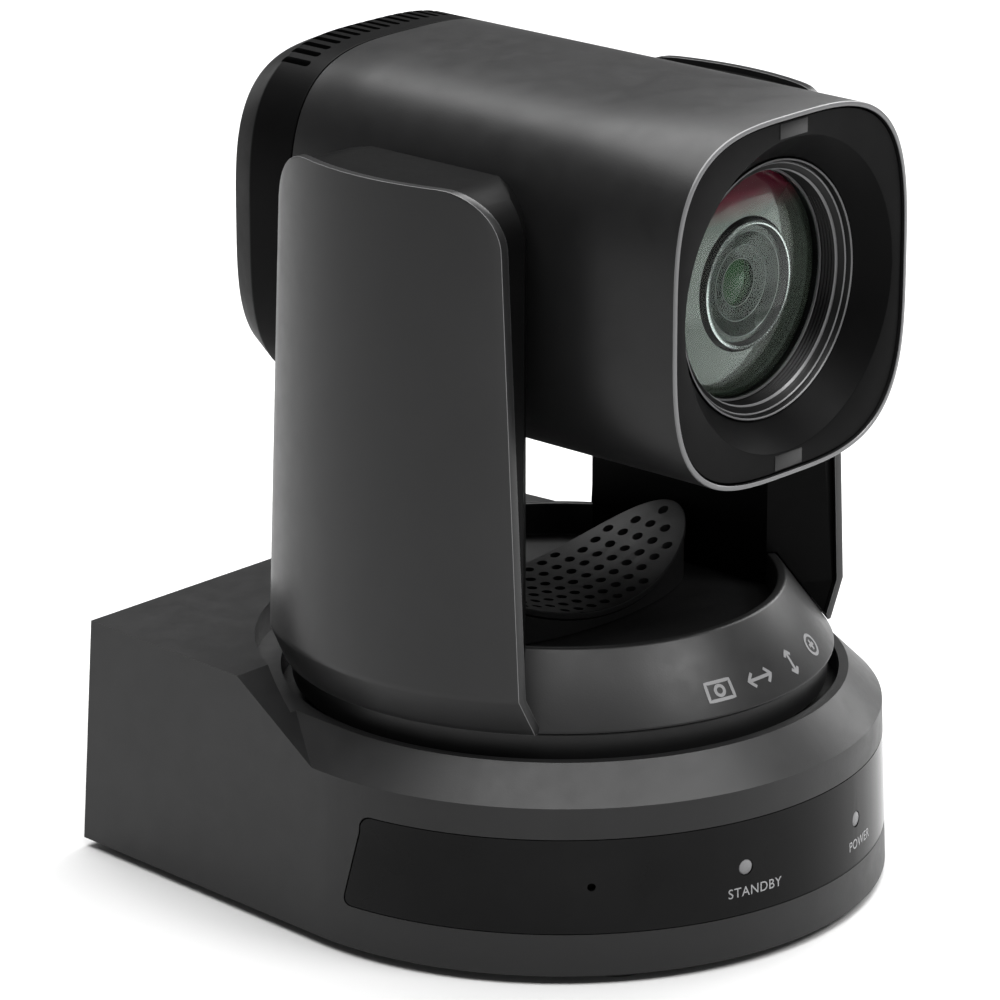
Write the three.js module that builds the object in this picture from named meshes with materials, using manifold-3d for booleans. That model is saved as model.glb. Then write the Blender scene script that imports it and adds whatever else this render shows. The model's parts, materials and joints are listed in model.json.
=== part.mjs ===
// Pan-tilt-zoom conference camera: base, turning yoke and tilting head.
// Millimetres, +Z up, lens towards -Y, connectors towards +Y.
// The camera stands on its feet at z = 0, with the middle of its footprint at x = y = 0.
import * as THREE from 'three';
import { mergeVertices } from 'three/addons/utils/BufferGeometryUtils.js';
import Module from 'manifold-3d';

const wasm = await Module();
wasm.setup();

// ---------------------------------------------------------------- driving dimensions
const GAP = 0.3; // clearance between pieces that touch
const FOOT_HEIGHT = 2; // rubber feet stand this far below the housing

const BASE_R = 72; // front half of the base, at its foot
const BASE_DRAFT = 0.039; // the base walls lean in by this per mm of height
const SIDE_TAPER = 0.071; // the side walls close in towards the rear (radians)
const REAR_Y = 82.3; // rear wall, measured from the pan axis
const BEVEL_LOW_Z = 37;
const BEVEL_HIGH_Z = 44.4;
const BEVEL_HIGH_R = 63.1;
const BLOCK_TOP_Z = 51.1; // flat top of the rear connector block
const SLOPE_TOP_Y = 31.9; // the block's sloping front face
const SLOPE_LOW_Y = 7.7;
const RECESS_R = 66.6; // round recess that the turntable turns in
const WELL_R = 61;
const WELL_FLOOR_Z = 38.5;
const WALL = 2.4;

const WINDOW_LOW_Z = 9.4;
const WINDOW_HIGH_Z = 30;
const WINDOW_END_LOW = 87; // degrees from the front, at the window's lower edge
const WINDOW_END_HIGH = 83;
const WINDOW_DEPTH = 1.6;
const LED_ANGLE = 15;
const SENSOR_ANGLE = 43;
const SIGNAL_Z = 19.7;

const BAND_LOW_Z = 49.6; // conical band round the turntable
const BAND_LOW_R = 60;
const BAND_HIGH_Z = 64.5;
const BAND_HIGH_R = 49.1;
const SKIRT_R = 58.5;
const SKIRT_LOW_Z = 42.6;
const DECK_TOP_Z = 57;
const DECK_THICKNESS = 3;
const PEDESTAL_HALF_X = 37.5;
const PEDESTAL_HALF_Y = 16.5;
const SADDLE_LOW_Z = 60.8; // the saddle's top at its middle
const SADDLE_RISE = 0.0079; // it rises by this times x squared
const HUB_R = 15;

const ARM_INNER_X = 39.6;
const ARM_TOP_Z = 166;
const COVER_LOW_R = 61;
const COVER_WIDE_R = 64.5;
const COVER_HIGH_R = 62;
const COVER_WIDE_Z = 58;
const COVER_THICKNESS = 1.8;
const COVER_HALF_LOW = 36.5; // half width of the arm cover at its foot
const COVER_HALF_HIGH = 31.5; // and just under its round top corners
const COVER_CORNER = 13;
const ARM_FLOOR_X = 43.2; // outer face of the arm's inner wall

const TILT_Z = 139.7; // tilt axis above the base's lower edge
const AXLE_R = 6;
const BEARING_CLEARANCE = 0.15;

const HEAD_HALF_X = 37.8;
const HEAD_HALF_Z = 38.9;
const HEAD_POWER = 3.4; // roundness of the head's square section
const HEAD_FRONT_Y = -64;
const HEAD_SEAM_Y = 44;
const HEAD_CHAMFER_Y = 56;
const HEAD_REAR_Y = 64;
const HEAD_CHAMFER = 3.4;
const HEAD_WALL = 2.2;
const VENT_COUNT = 18;
const VENT_PITCH = 3.1;
const VENT_WIDTH = 1.6;
const BEZEL_OPENING_R = 33.6;
const LENS_RING_R = 27.6;
const LENS_R = 24.6;

const GEAR_THICKNESS = 3;
const TILT_GEAR = { module: 0.72, teeth: 40, pinionTeeth: 10 };
const PAN_GEAR = { module: 1.2, teeth: 48, pinionTeeth: 12 };

const PAN_CENTRE_Y = (BASE_R - REAR_Y) / 2; // puts the footprint's middle at y = 0

// ---------------------------------------------------------------- colours
const CHARCOAL = { color: 0x2b2b2d, roughness: 0.5, metalness: 0.1 };
const SATIN_GREY = { color: 0x5a5a5c, roughness: 0.38, metalness: 0.5 };
const BLACK_PLASTIC = { color: 0x121213, roughness: 0.6, metalness: 0 };
const BLACK_GLOSS = { color: 0x08080a, roughness: 0.08, metalness: 0 };
const RUBBER = { color: 0x18181a, roughness: 0.9, metalness: 0 };
const STEEL = { color: 0xb4b6ba, roughness: 0.3, metalness: 1 };
const BRASS = { color: 0xc19a4b, roughness: 0.35, metalness: 1 };
const BOARD_GREEN = { color: 0x145a32, roughness: 0.5, metalness: 0 };
const GEAR_WHITE = { color: 0xe6e2d6, roughness: 0.5, metalness: 0 };
const GLASS = { color: 0x37504a, roughness: 0.02, metalness: 0 };
const LED_GREY = { color: 0x8f9492, roughness: 0.3, metalness: 0 };

// ---------------------------------------------------------------- solids
function toSolid(geometry) {
  const bare = new THREE.BufferGeometry();
  bare.setAttribute('position', geometry.getAttribute('position'));
  if (geometry.index) bare.setIndex(geometry.index);
  const merged = mergeVertices(bare, 1e-4);
  const corners = Array.from(merged.index.array);
  const triVerts = [];
  for (let i = 0; i < corners.length; i += 3) {
    const [a, b, c] = corners.slice(i, i + 3);
    if (a !== b && b !== c && c !== a) triVerts.push(a, b, c);
  }
  return new wasm.Manifold(new wasm.Mesh({
    numProp: 3,
    vertProperties: new Float32Array(merged.getAttribute('position').array),
    triVerts: new Uint32Array(triVerts),
  }));
}

function toGeometry(solid) {
  const { vertProperties, triVerts } = solid.getMesh();
  const geometry = new THREE.BufferGeometry();
  geometry.setAttribute('position', new THREE.BufferAttribute(new Float32Array(vertProperties), 3));
  geometry.setIndex(new THREE.BufferAttribute(new Uint32Array(triVerts), 1));
  geometry.computeVertexNormals();
  return geometry;
}

function box(x0, x1, y0, y1, z0, z1) {
  const geometry = new THREE.BoxGeometry(x1 - x0, y1 - y0, z1 - z0);
  geometry.translate((x0 + x1) / 2, (y0 + y1) / 2, (z0 + z1) / 2);
  return toSolid(geometry);
}

// A closed outline of [radius, height] points turned about the Z axis.
function turned(outline, segments = 48) {
  const points = outline.map(([r, z]) => new THREE.Vector2(r, z));
  const onAxis = outline[0][0] === 0 && outline.at(-1)[0] === 0;
  if (!onAxis) points.push(points[0].clone());
  const geometry = new THREE.LatheGeometry(points, segments);
  geometry.rotateX(Math.PI / 2);
  const area = THREE.ShapeUtils.area(points);
  if (area < 0) geometry.index.array.reverse();
  return toSolid(geometry);
}

const disc = (r, z0, z1, segments = 28) => turned([[0, z0], [r, z0], [r, z1], [0, z1]], segments);
const ring = (inner, outer, z0, z1, segments = 28) =>
  turned([[inner, z0], [outer, z0], [outer, z1], [inner, z1]], segments);

// Turn a solid made along +Z so that it lies along +X, or along +Y.
const alongX = (solid) => solid.rotate([0, 90, 0]);
const alongY = (solid) => solid.rotate([-90, 0, 0]);

function extruded(points, from, to) {
  const shape = new THREE.Shape(points.map(([u, v]) => new THREE.Vector2(u, v)));
  const geometry = new THREE.ExtrudeGeometry(shape, { depth: to - from, bevelEnabled: false });
  geometry.translate(0, 0, from);
  return toSolid(geometry);
}

// An outline in the YZ plane, extruded along X.
function extrudedAlongX(points, x0, x1) {
  return extruded(points, x0, x1).transform([0, 1, 0, 0, 0, 0, 1, 0, 1, 0, 0, 0, 0, 0, 0, 1]);
}

// A closed skin through convex rings that all have the same number of points.
function lofted(rings) {
  const count = rings[0].length;
  const last = rings.length - 1;
  const index = [];
  for (let k = 0; k < last; k += 1) {
    for (let i = 0; i < count; i += 1) {
      const a = k * count + i;
      const b = k * count + ((i + 1) % count);
      index.push(a, b, b + count, a, b + count, a + count);
    }
  }
  for (let i = 1; i < count - 1; i += 1) {
    index.push(0, i + 1, i);
    index.push(last * count, last * count + i, last * count + i + 1);
  }
  const geometry = new THREE.BufferGeometry();
  geometry.setAttribute('position', new THREE.Float32BufferAttribute(rings.flat(2), 3));
  geometry.setIndex(index);
  return toSolid(geometry);
}

// ---------------------------------------------------------------- gears
// A spur gear about Z with one tooth centred on +X, or on +X less half a pitch if shifted.
function gear({ module, teeth, boreR, z0, z1, shifted = false }) {
  const pitchR = (module * teeth) / 2;
  const pitch = (2 * Math.PI) / teeth;
  const levels = [[-1.15, 0.3], [0.8, 0.12]];
  const outline = [];
  for (let tooth = 0; tooth < teeth; tooth += 1) {
    const middle = (tooth + (shifted ? 0.5 : 0)) * pitch;
    const flank = levels.map(([height, half]) => [pitchR + height * module, half * pitch]);
    flank.forEach(([r, half]) => outline.push([r, middle - half]));
    flank.reverse().forEach(([r, half]) => outline.push([r, middle + half]));
  }
  const points = outline.map(([r, angle]) => [r * Math.cos(angle), r * Math.sin(angle)]);
  const body = extruded(points, z0, z1);
  return boreR ? body.subtract(disc(boreR, z0 - 1, z1 + 1, 28)) : body;
}

const centreDistance = ({ module, teeth, pinionTeeth }) => (module * (teeth + pinionTeeth)) / 2;

// ---------------------------------------------------------------- scene graph
const part = new THREE.Group();
const camera = new THREE.Group();
camera.position.set(0, PAN_CENTRE_Y, FOOT_HEIGHT);
part.add(camera);
const head = new THREE.Group();
head.position.set(0, 0, TILT_Z);
camera.add(head);

function addPiece(name, solid, look, group = camera) {
  const mesh = new THREE.Mesh(toGeometry(solid), new THREE.MeshStandardMaterial(look));
  mesh.name = name;
  group.add(mesh);
}

// ---------------------------------------------------------------- base
// The base's plan: a round front that runs on into side walls tapering to the flat rear.
function basePlan(inset, z, arcSteps = 44) {
  const r = BASE_R - inset;
  const rearY = REAR_Y - inset;
  const halfTurn = Math.PI / 2 + SIDE_TAPER;
  const points = [];
  for (let i = 0; i <= arcSteps; i += 1) {
    const angle = -halfTurn + (2 * halfTurn * i) / arcSteps;
    points.push([r * Math.sin(angle), -r * Math.cos(angle), z]);
  }
  const rearX = r / Math.cos(SIDE_TAPER) - rearY * Math.tan(SIDE_TAPER);
  points.push([rearX, rearY, z], [-rearX, rearY, z]);
  return points;
}

const draft = (z) => BASE_DRAFT * z;

function baseOuter() {
  const front = lofted([
    basePlan(0, 0),
    basePlan(draft(BEVEL_LOW_Z), BEVEL_LOW_Z),
    basePlan(BASE_R - BEVEL_HIGH_R, BEVEL_HIGH_Z),
  ]);
  const block = lofted([basePlan(0, 0), basePlan(draft(BLOCK_TOP_Z), BLOCK_TOP_Z)]);
  const behindSlope = extrudedAlongX([
    [SLOPE_LOW_Y, -1],
    [REAR_Y + 1, -1],
    [REAR_Y + 1, BLOCK_TOP_Z + 1],
    [SLOPE_TOP_Y, BLOCK_TOP_Z + 1],
    [SLOPE_TOP_Y, BLOCK_TOP_Z],
    [SLOPE_LOW_Y, BEVEL_LOW_Z],
  ], -BASE_R - 1, BASE_R + 1);
  return front.add(block.intersect(behindSlope));
}

// The part of the base's front wall that the dark window covers, as a wedge of its plan.
function windowSector(outside, depth, grow) {
  const reach = BASE_R + 4;
  const low = THREE.MathUtils.degToRad(WINDOW_END_LOW + grow);
  const high = THREE.MathUtils.degToRad(WINDOW_END_HIGH + grow);
  const z0 = WINDOW_LOW_Z - grow * 0.7;
  const z1 = WINDOW_HIGH_Z + grow * 0.7;
  const wedge = (angle, z) => [
    [0, reach * 0.2, z],
    [-reach * Math.sin(angle), -reach * Math.cos(angle), z],
    [-reach, -reach * 2, z],
    [reach, -reach * 2, z],
    [reach * Math.sin(angle), -reach * Math.cos(angle), z],
  ];
  const outer = lofted([basePlan(-outside, 0), basePlan(draft(BEVEL_LOW_Z) - outside, BEVEL_LOW_Z)]);
  const inner = lofted([basePlan(depth, -1), basePlan(depth + draft(BEVEL_LOW_Z), BEVEL_LOW_Z + 1)]);
  return outer.subtract(inner).intersect(lofted([wedge(low, z0), wedge(high, z1)]));
}

// A short bar pointing out of the base's front wall at an angle from the front.
function frontBar(angle, r, from, to) {
  return disc(r, from, to, 12)
    .rotate([90, 0, 0])
    .rotate([0, 0, angle])
    .translate([0, 0, SIGNAL_Z]);
}

const LED_R = 1.5;
const SENSOR_R = 0.9;
const REAR_OPENING = { halfX: 58, z0: 7, z1: 42 };

function baseHousing() {
  const innerLow = lofted([
    basePlan(WALL, -1),
    basePlan(WALL + draft(WELL_FLOOR_Z), WELL_FLOOR_Z - WALL),
  ]);
  const innerBlock = lofted([basePlan(WALL, -1), basePlan(WALL + 2, BLOCK_TOP_Z - WALL)])
    .intersect(box(-BASE_R, BASE_R, RECESS_R + WALL, REAR_Y, -2, BLOCK_TOP_Z));
  const motorShaftHole = disc(4.5, WELL_FLOOR_Z - WALL - 1, WELL_FLOOR_Z + 1, 24)
    .translate([0, -centreDistance(PAN_GEAR), 0]);
  const { halfX, z0, z1 } = REAR_OPENING;
  let housing = baseOuter()
    .subtract(innerLow)
    .subtract(innerBlock)
    .subtract(disc(RECESS_R, BEVEL_HIGH_Z, BLOCK_TOP_Z + 5, 72))
    .subtract(disc(WELL_R, WELL_FLOOR_Z, BLOCK_TOP_Z + 5, 48))
    .subtract(disc(11, WELL_FLOOR_Z - WALL - 1, WELL_FLOOR_Z + 1))
    .subtract(motorShaftHole)
    .subtract(box(-halfX, halfX, REAR_Y - 6, REAR_Y + 1, z0, z1))
    .subtract(windowSector(3, WINDOW_DEPTH, GAP));
  for (const angle of [-LED_ANGLE, LED_ANGLE, -SENSOR_ANGLE]) {
    housing = housing.subtract(frontBar(angle, LED_R + GAP, BASE_R - 6, BASE_R + 1));
  }
  return housing;
}

addPiece('base_housing', baseHousing(), CHARCOAL);

const frontWindow = [-LED_ANGLE, LED_ANGLE].reduce(
  (panel, angle) => panel.subtract(frontBar(angle, LED_R + GAP, BASE_R - 6, BASE_R + 1)),
  windowSector(0, WINDOW_DEPTH - GAP, 0)
    .subtract(frontBar(-SENSOR_ANGLE, SENSOR_R, BASE_R - 6, BASE_R + 1)),
);
addPiece('front_window', frontWindow, BLACK_GLOSS);
addPiece('standby_led', frontBar(-LED_ANGLE, LED_R, BASE_R - 8, BASE_R - 1), LED_GREY);
addPiece('power_led', frontBar(LED_ANGLE, LED_R, BASE_R - 8, BASE_R - 1), LED_GREY);
addPiece('ir_receiver', frontBar(-SENSOR_ANGLE, 1.4, BASE_R - 8, BASE_R - 2.6), BLACK_PLASTIC);

// Bottom plate, its screws, the feet and the tripod thread.
const PLATE_INSET = WALL + GAP;
const SCREW_PLACES = [[-44, -40], [44, -40], [-54, 66], [54, 66]];
const FOOT_PLACES = [[-38, -50], [38, -50], [-50, 54], [50, 54]];
const FOOT_R = 6.5;
const TRIPOD_Y = 22;
const TRIPOD_OUTER_R = 7;
const TRIPOD_THREAD_R = 3.2;
const PLATE_THICKNESS = 2;

let bottomPlate = lofted([basePlan(PLATE_INSET, 0.4), basePlan(PLATE_INSET, 0.4 + PLATE_THICKNESS)])
  .subtract(disc(TRIPOD_OUTER_R + GAP, -1, 4).translate([0, TRIPOD_Y, 0]));
SCREW_PLACES.forEach(([x, y]) => {
  bottomPlate = bottomPlate.subtract(disc(1.9, -1, 4, 12).translate([x, y, 0]));
});
addPiece('bottom_plate', bottomPlate, BLACK_PLASTIC);
addPiece('tripod_insert', turned([
  [TRIPOD_THREAD_R, 0.2], [TRIPOD_OUTER_R, 0.2], [TRIPOD_OUTER_R, 9], [TRIPOD_THREAD_R, 9],
], 24).translate([0, TRIPOD_Y, 0]), BRASS);

SCREW_PLACES.forEach(([x, y], i) => {
  const screw = turned([[0, -0.9], [2.8, -0.9], [2.8, 0.1], [1.5, 0.1], [1.5, 7], [0, 7]], 8);
  addPiece(`bottom_screw_${i + 1}`, screw.translate([x, y, 0]), STEEL);
});
FOOT_PLACES.forEach(([x, y], i) => {
  const foot = turned([
    [0, -FOOT_HEIGHT], [FOOT_R - 0.6, -FOOT_HEIGHT], [FOOT_R, -FOOT_HEIGHT + 0.7], [FOOT_R, 0.1], [0, 0.1],
  ], 16);
  addPiece(`foot_${i + 1}`, foot.translate([x, y, 0]), RUBBER);
});

// Boards inside the base.
const BOARD_Z = 6;
const mainBoard = box(-52, 52, 10, 72, BOARD_Z, BOARD_Z + 1.6)
  .subtract(disc(TRIPOD_OUTER_R + 2, 0, 20).translate([0, TRIPOD_Y, 0]));
addPiece('main_board', mainBoard, BOARD_GREEN);
addPiece('main_processor', box(-34, -12, 34, 56, BOARD_Z + 1.9, BOARD_Z + 9), BLACK_PLASTIC);

// Rear panel and its sockets. Each socket reaches back to the main board.
const PANEL_Y = REAR_Y - 3.6;
const PANEL_THICKNESS = 1.5;
const SOCKET_MOUTH_Y = PANEL_Y + 1;
const BOX_SOCKETS = [
  { name: 'lan_port', x: 33, z: 15, width: 16, height: 13.4, mouth: [11.8, 8], depth: 12 },
  { name: 'hdmi_port', x: -18, z: 14, width: 16.4, height: 7.4, mouth: [14, 4.6], depth: 10 },
  { name: 'usb_port', x: 5, z: 14.6, width: 12, height: 11.6, mouth: [8.4, 7.6], depth: 10 },
];
const ROUND_SOCKETS = [
  { name: 'rs232_in', x: -20, z: 28.4, r: 6.6, bore: 4.6, pin: 0, depth: 9 },
  { name: 'rs232_out', x: 0, z: 28.4, r: 6.6, bore: 4.6, pin: 0, depth: 9 },
  { name: 'audio_in', x: 18, z: 29, r: 4, bore: 1.8, pin: 0, depth: 12 },
  { name: 'dc_jack', x: -44, z: 15, r: 5.4, bore: 3.2, pin: 1.1, depth: 9 },
];
const BNC = { x: 40, z: 29.6, r: 4.8, sleeve: 7.5 };

function boxSocket({ x, z, width, height, mouth, depth }) {
  const shell = box(x - width / 2, x + width / 2, SOCKET_MOUTH_Y - depth - 3, SOCKET_MOUTH_Y,
    z - height / 2, z + height / 2);
  return shell.subtract(box(x - mouth[0] / 2, x + mouth[0] / 2, SOCKET_MOUTH_Y - depth, SOCKET_MOUTH_Y + 1,
    z - mouth[1] / 2, z + mouth[1] / 2));
}

function roundSocket({ x, z, r, bore, pin, depth }) {
  const outline = [[0, -depth - 3], [r, -depth - 3], [r, 0], [bore, 0], [bore, -depth]];
  if (pin) outline.push([pin, -depth], [pin, -1], [0, -1]);
  else outline.push([0, -depth]);
  return alongY(turned(outline, 16)).translate([x, SOCKET_MOUTH_Y, z]);
}

let rearPanel = box(
  -REAR_OPENING.halfX + GAP, REAR_OPENING.halfX - GAP,
  PANEL_Y - PANEL_THICKNESS, PANEL_Y,
  REAR_OPENING.z0 + GAP, REAR_OPENING.z1 - GAP,
);
BOX_SOCKETS.forEach((socket) => {
  const { x, z, width, height } = socket;
  rearPanel = rearPanel.subtract(box(x - width / 2 - GAP, x + width / 2 + GAP, PANEL_Y - 5, PANEL_Y + 1,
    z - height / 2 - GAP, z + height / 2 + GAP));
  addPiece(socket.name, boxSocket(socket), STEEL);
});
[...ROUND_SOCKETS, BNC].forEach(({ x, z, r }) => {
  rearPanel = rearPanel.subtract(
    alongY(disc(r + GAP, -5, 5, 16)).translate([x, PANEL_Y, z]),
  );
});
ROUND_SOCKETS.forEach((socket) => addPiece(socket.name, roundSocket(socket), BLACK_PLASTIC));
addPiece('rear_panel', rearPanel, BLACK_PLASTIC);

// The video output is a bayonet sleeve that stands out behind the panel.
const bncSleeve = alongY(turned([
  [0, -10], [BNC.r, -10], [BNC.r, BNC.sleeve], [BNC.r - 1, BNC.sleeve], [BNC.r - 1, -2],
  [0.8, -2], [0.8, 4], [0, 4],
], 16)).translate([BNC.x, PANEL_Y - 4.6, BNC.z]);
addPiece('video_connector', bncSleeve, STEEL);

// Pan drive: bearing, motor and pinion stand in the base, the hub and gear turn.
const PAN_GEAR_Z = 46;
const PAN_MOTOR = { r: 16, height: 20, bossR: 4, boreR: 1.9 };
const motorTop = WELL_FLOOR_Z - WALL - GAP;
addPiece('pan_bearing', ring(HUB_R + BEARING_CLEARANCE, 19.5, WELL_FLOOR_Z + GAP, 45, 28), STEEL);
const panMotor = turned([
  [0, motorTop - PAN_MOTOR.height], [PAN_MOTOR.r, motorTop - PAN_MOTOR.height], [PAN_MOTOR.r, motorTop],
  [PAN_MOTOR.bossR, motorTop], [PAN_MOTOR.bossR, motorTop + 2],
  [PAN_MOTOR.boreR, motorTop + 2], [PAN_MOTOR.boreR, motorTop - 8], [0, motorTop - 8],
], 16).translate([0, -centreDistance(PAN_GEAR), 0]);
addPiece('pan_motor', panMotor, STEEL);

// ---------------------------------------------------------------- pinions
const PINION_SHAFT_R = 1.6;
const panPinion = gear({
  module: PAN_GEAR.module,
  teeth: PAN_GEAR.pinionTeeth,
  z0: PAN_GEAR_Z - 0.5,
  z1: PAN_GEAR_Z + GEAR_THICKNESS + 0.5,
  shifted: true,
}).add(disc(PINION_SHAFT_R, motorTop - 7, PAN_GEAR_Z + 1, 12))
  .rotate([0, 0, 90])
  .translate([0, -centreDistance(PAN_GEAR), 0]);
addPiece('pan_pinion', panPinion, BRASS);

const TILT_MOTOR = { r: 12, depth: 9, bossR: 3, boreR: 1.9 };
const tiltGearX = ARM_FLOOR_X + 0.8;
const tiltPinionZ = TILT_Z - centreDistance(TILT_GEAR);
const tiltMotorX = tiltGearX + GEAR_THICKNESS + 1.2;
const tiltPinion = alongX(gear({
  module: TILT_GEAR.module,
  teeth: TILT_GEAR.pinionTeeth,
  z0: tiltGearX - 0.2,
  z1: tiltGearX + GEAR_THICKNESS + 0.3,
  shifted: true,
}).add(disc(PINION_SHAFT_R, tiltGearX + 1, tiltMotorX + 6, 12))).translate([0, 0, tiltPinionZ]);
addPiece('tilt_pinion', tiltPinion, BRASS);

// ---------------------------------------------------------------- yoke
const bandOutline = (grow) => [
  [0, SKIRT_LOW_Z - 10],
  [SKIRT_R + grow, SKIRT_LOW_Z - 10],
  [SKIRT_R + grow, BAND_LOW_Z - 0.6 - grow],
  [BAND_LOW_R + grow, BAND_LOW_Z - grow],
  [BAND_LOW_R + grow, BAND_LOW_Z + grow],
  [BAND_HIGH_R + grow, BAND_HIGH_Z + grow],
  [0, BAND_HIGH_Z + grow],
];
const bandClearance = turned(bandOutline(GAP), 72)
  .subtract(disc(BAND_HIGH_R - 2.1, DECK_TOP_Z + GAP, BAND_HIGH_Z + 5, 72));
const deckLow = DECK_TOP_Z - DECK_THICKNESS;
const turntable = turned([
  [SKIRT_R - 2.4, SKIRT_LOW_Z],
  [SKIRT_R, SKIRT_LOW_Z],
  [SKIRT_R, BAND_LOW_Z - 0.6],
  [BAND_LOW_R, BAND_LOW_Z],
  [BAND_HIGH_R, BAND_HIGH_Z],
  [BAND_HIGH_R - 1.8, BAND_HIGH_Z],
  [BAND_HIGH_R - 1.8, DECK_TOP_Z],
  [11, DECK_TOP_Z],
  [11, deckLow],
  [SKIRT_R - 8, deckLow],
  [SKIRT_R - 2.4, deckLow - 5],
], 60);
addPiece('turntable', turntable, CHARCOAL);

// The pedestal between the arms: an oval wall under a perforated saddle, which rises towards
// the arms and stays clear of the head's lower corners.
const GRILLE_THICKNESS = 1.6;
const PEDESTAL_WALL = 2;
const SADDLE_STEPS = 20;
const oval = (inset, z0, z1) => disc(PEDESTAL_HALF_X - inset, z0, z1, 48)
  .scale([1, (PEDESTAL_HALF_Y - inset) / (PEDESTAL_HALF_X - inset), 1]);

// Everything from the saddle's surface, lowered by a drop, up to a height.
function overSaddle(drop, top) {
  const points = [];
  for (let i = 0; i <= SADDLE_STEPS; i += 1) {
    const x = (PEDESTAL_HALF_X + 1) * ((2 * i) / SADDLE_STEPS - 1);
    points.push([x, -(SADDLE_LOW_Z + SADDLE_RISE * x * x - drop)]);
  }
  points.push([PEDESTAL_HALF_X + 1, -top], [-PEDESTAL_HALF_X - 1, -top]);
  return alongY(extruded(points, -PEDESTAL_HALF_Y - 1, PEDESTAL_HALF_Y + 1));
}

const SADDLE_CEILING = SADDLE_LOW_Z + 20;
const pedestal = oval(0.4, DECK_TOP_Z + GAP, SADDLE_CEILING - 1)
  .subtract(oval(0.4 + PEDESTAL_WALL, DECK_TOP_Z, SADDLE_CEILING))
  .subtract(overSaddle(GRILLE_THICKNESS + 0.1, SADDLE_CEILING));
addPiece('pedestal', pedestal, BLACK_PLASTIC);
const grille = oval(0, DECK_TOP_Z, SADDLE_CEILING - 1)
  .intersect(overSaddle(GRILLE_THICKNESS, SADDLE_CEILING))
  .subtract(overSaddle(0, SADDLE_CEILING));
addPiece('grille', grille, CHARCOAL);

// Hub and gear under the deck. The hub is a tube that the head's cables run through.
const hub = turned([
  [10, WELL_FLOOR_Z + 1], [HUB_R, WELL_FLOOR_Z + 1], [HUB_R, deckLow - GAP], [10, deckLow - GAP],
], 28);
addPiece('pan_hub', hub, STEEL);
addPiece('pan_gear', gear({
  module: PAN_GEAR.module,
  teeth: PAN_GEAR.teeth,
  boreR: HUB_R + GAP,
  z0: PAN_GEAR_Z,
  z1: PAN_GEAR_Z + GEAR_THICKNESS,
}).rotate([0, 0, -90]), GEAR_WHITE);

// Outline of an arm in the YZ plane: it narrows upwards and has round top corners.
function armOutline(halfLow, halfHigh, topZ, corner) {
  const lowZ = BAND_LOW_Z;
  const shoulderZ = topZ - corner;
  const points = [[halfLow, lowZ], [halfHigh, shoulderZ]];
  const steps = 8;
  for (let i = 1; i < steps; i += 1) {
    const angle = (Math.PI / 2) * (i / steps);
    points.push([
      halfHigh - corner + corner * Math.cos(angle),
      shoulderZ + corner * Math.sin(angle),
    ]);
  }
  points.push([halfHigh - corner, topZ]);
  return [...points, ...points.map(([y, z]) => [-y, z]).reverse()];
}

// The space inside the arms' outer surface, drawn in by an inset.
const armEnvelope = (inset) => turned([
  [0, BAND_LOW_Z],
  [COVER_LOW_R - inset, BAND_LOW_Z],
  [COVER_WIDE_R - inset, COVER_WIDE_Z],
  [COVER_HIGH_R - inset, ARM_TOP_Z + 2],
  [0, ARM_TOP_Z + 2],
], 120);

const coverShell = armEnvelope(0)
  .subtract(armEnvelope(COVER_THICKNESS))
  .intersect(extrudedAlongX(armOutline(COVER_HALF_LOW, COVER_HALF_HIGH, ARM_TOP_Z, COVER_CORNER), 20, 80))
  .subtract(bandClearance);

// The arm behind the cover: a tray open outwards, with slanting front and rear faces.
const ARM_FACE_HALF = 25.5;
const ARM_FACE_X = 53;
const ARM_INSET = 1.2;
const armPlan = [
  [ARM_INNER_X, -ARM_FACE_HALF],
  [ARM_FACE_X, -COVER_HALF_LOW],
  [80, -COVER_HALF_LOW],
  [80, COVER_HALF_LOW],
  [ARM_FACE_X, COVER_HALF_LOW],
  [ARM_INNER_X, ARM_FACE_HALF],
];
const pocketPlan = [
  [ARM_FLOOR_X, -ARM_FACE_HALF + 1.5],
  [ARM_FACE_X, -COVER_HALF_LOW + 7],
  [80, -COVER_HALF_LOW + 7],
  [80, COVER_HALF_LOW - 7],
  [ARM_FACE_X, COVER_HALF_LOW - 7],
  [ARM_FLOOR_X, ARM_FACE_HALF - 1.5],
];
const armBody = extruded(armPlan, BAND_LOW_Z, ARM_TOP_Z + 5)
  .intersect(extrudedAlongX(
    armOutline(COVER_HALF_LOW - ARM_INSET, COVER_HALF_HIGH - ARM_INSET, ARM_TOP_Z - 1, COVER_CORNER),
    20, 80,
  ))
  .intersect(armEnvelope(COVER_THICKNESS + GAP))
  .subtract(bandClearance)
  .subtract(extruded(pocketPlan, DECK_TOP_Z + 14, ARM_TOP_Z).intersect(extrudedAlongX(
    armOutline(COVER_HALF_LOW - 5, COVER_HALF_HIGH - 5, ARM_TOP_Z - 5, COVER_CORNER - 3), 20, 80,
  )))
  .subtract(alongX(disc(9 + GAP, 30, 50)).translate([0, 0, TILT_Z]));

const mirrored = (solid) => solid.mirror([1, 0, 0]);
const onSide = { left: mirrored, right: (solid) => solid };
const bearing = alongX(ring(AXLE_R + BEARING_CLEARANCE, 9, ARM_INNER_X + 0.1, ARM_FLOOR_X, 20))
  .translate([0, 0, TILT_Z]);
Object.entries(onSide).forEach(([side, placed]) => {
  addPiece(`arm_${side}`, placed(armBody), CHARCOAL);
  addPiece(`arm_cover_${side}`, placed(coverShell), SATIN_GREY);
  addPiece(`tilt_bearing_${side}`, placed(bearing), STEEL);
});

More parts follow.
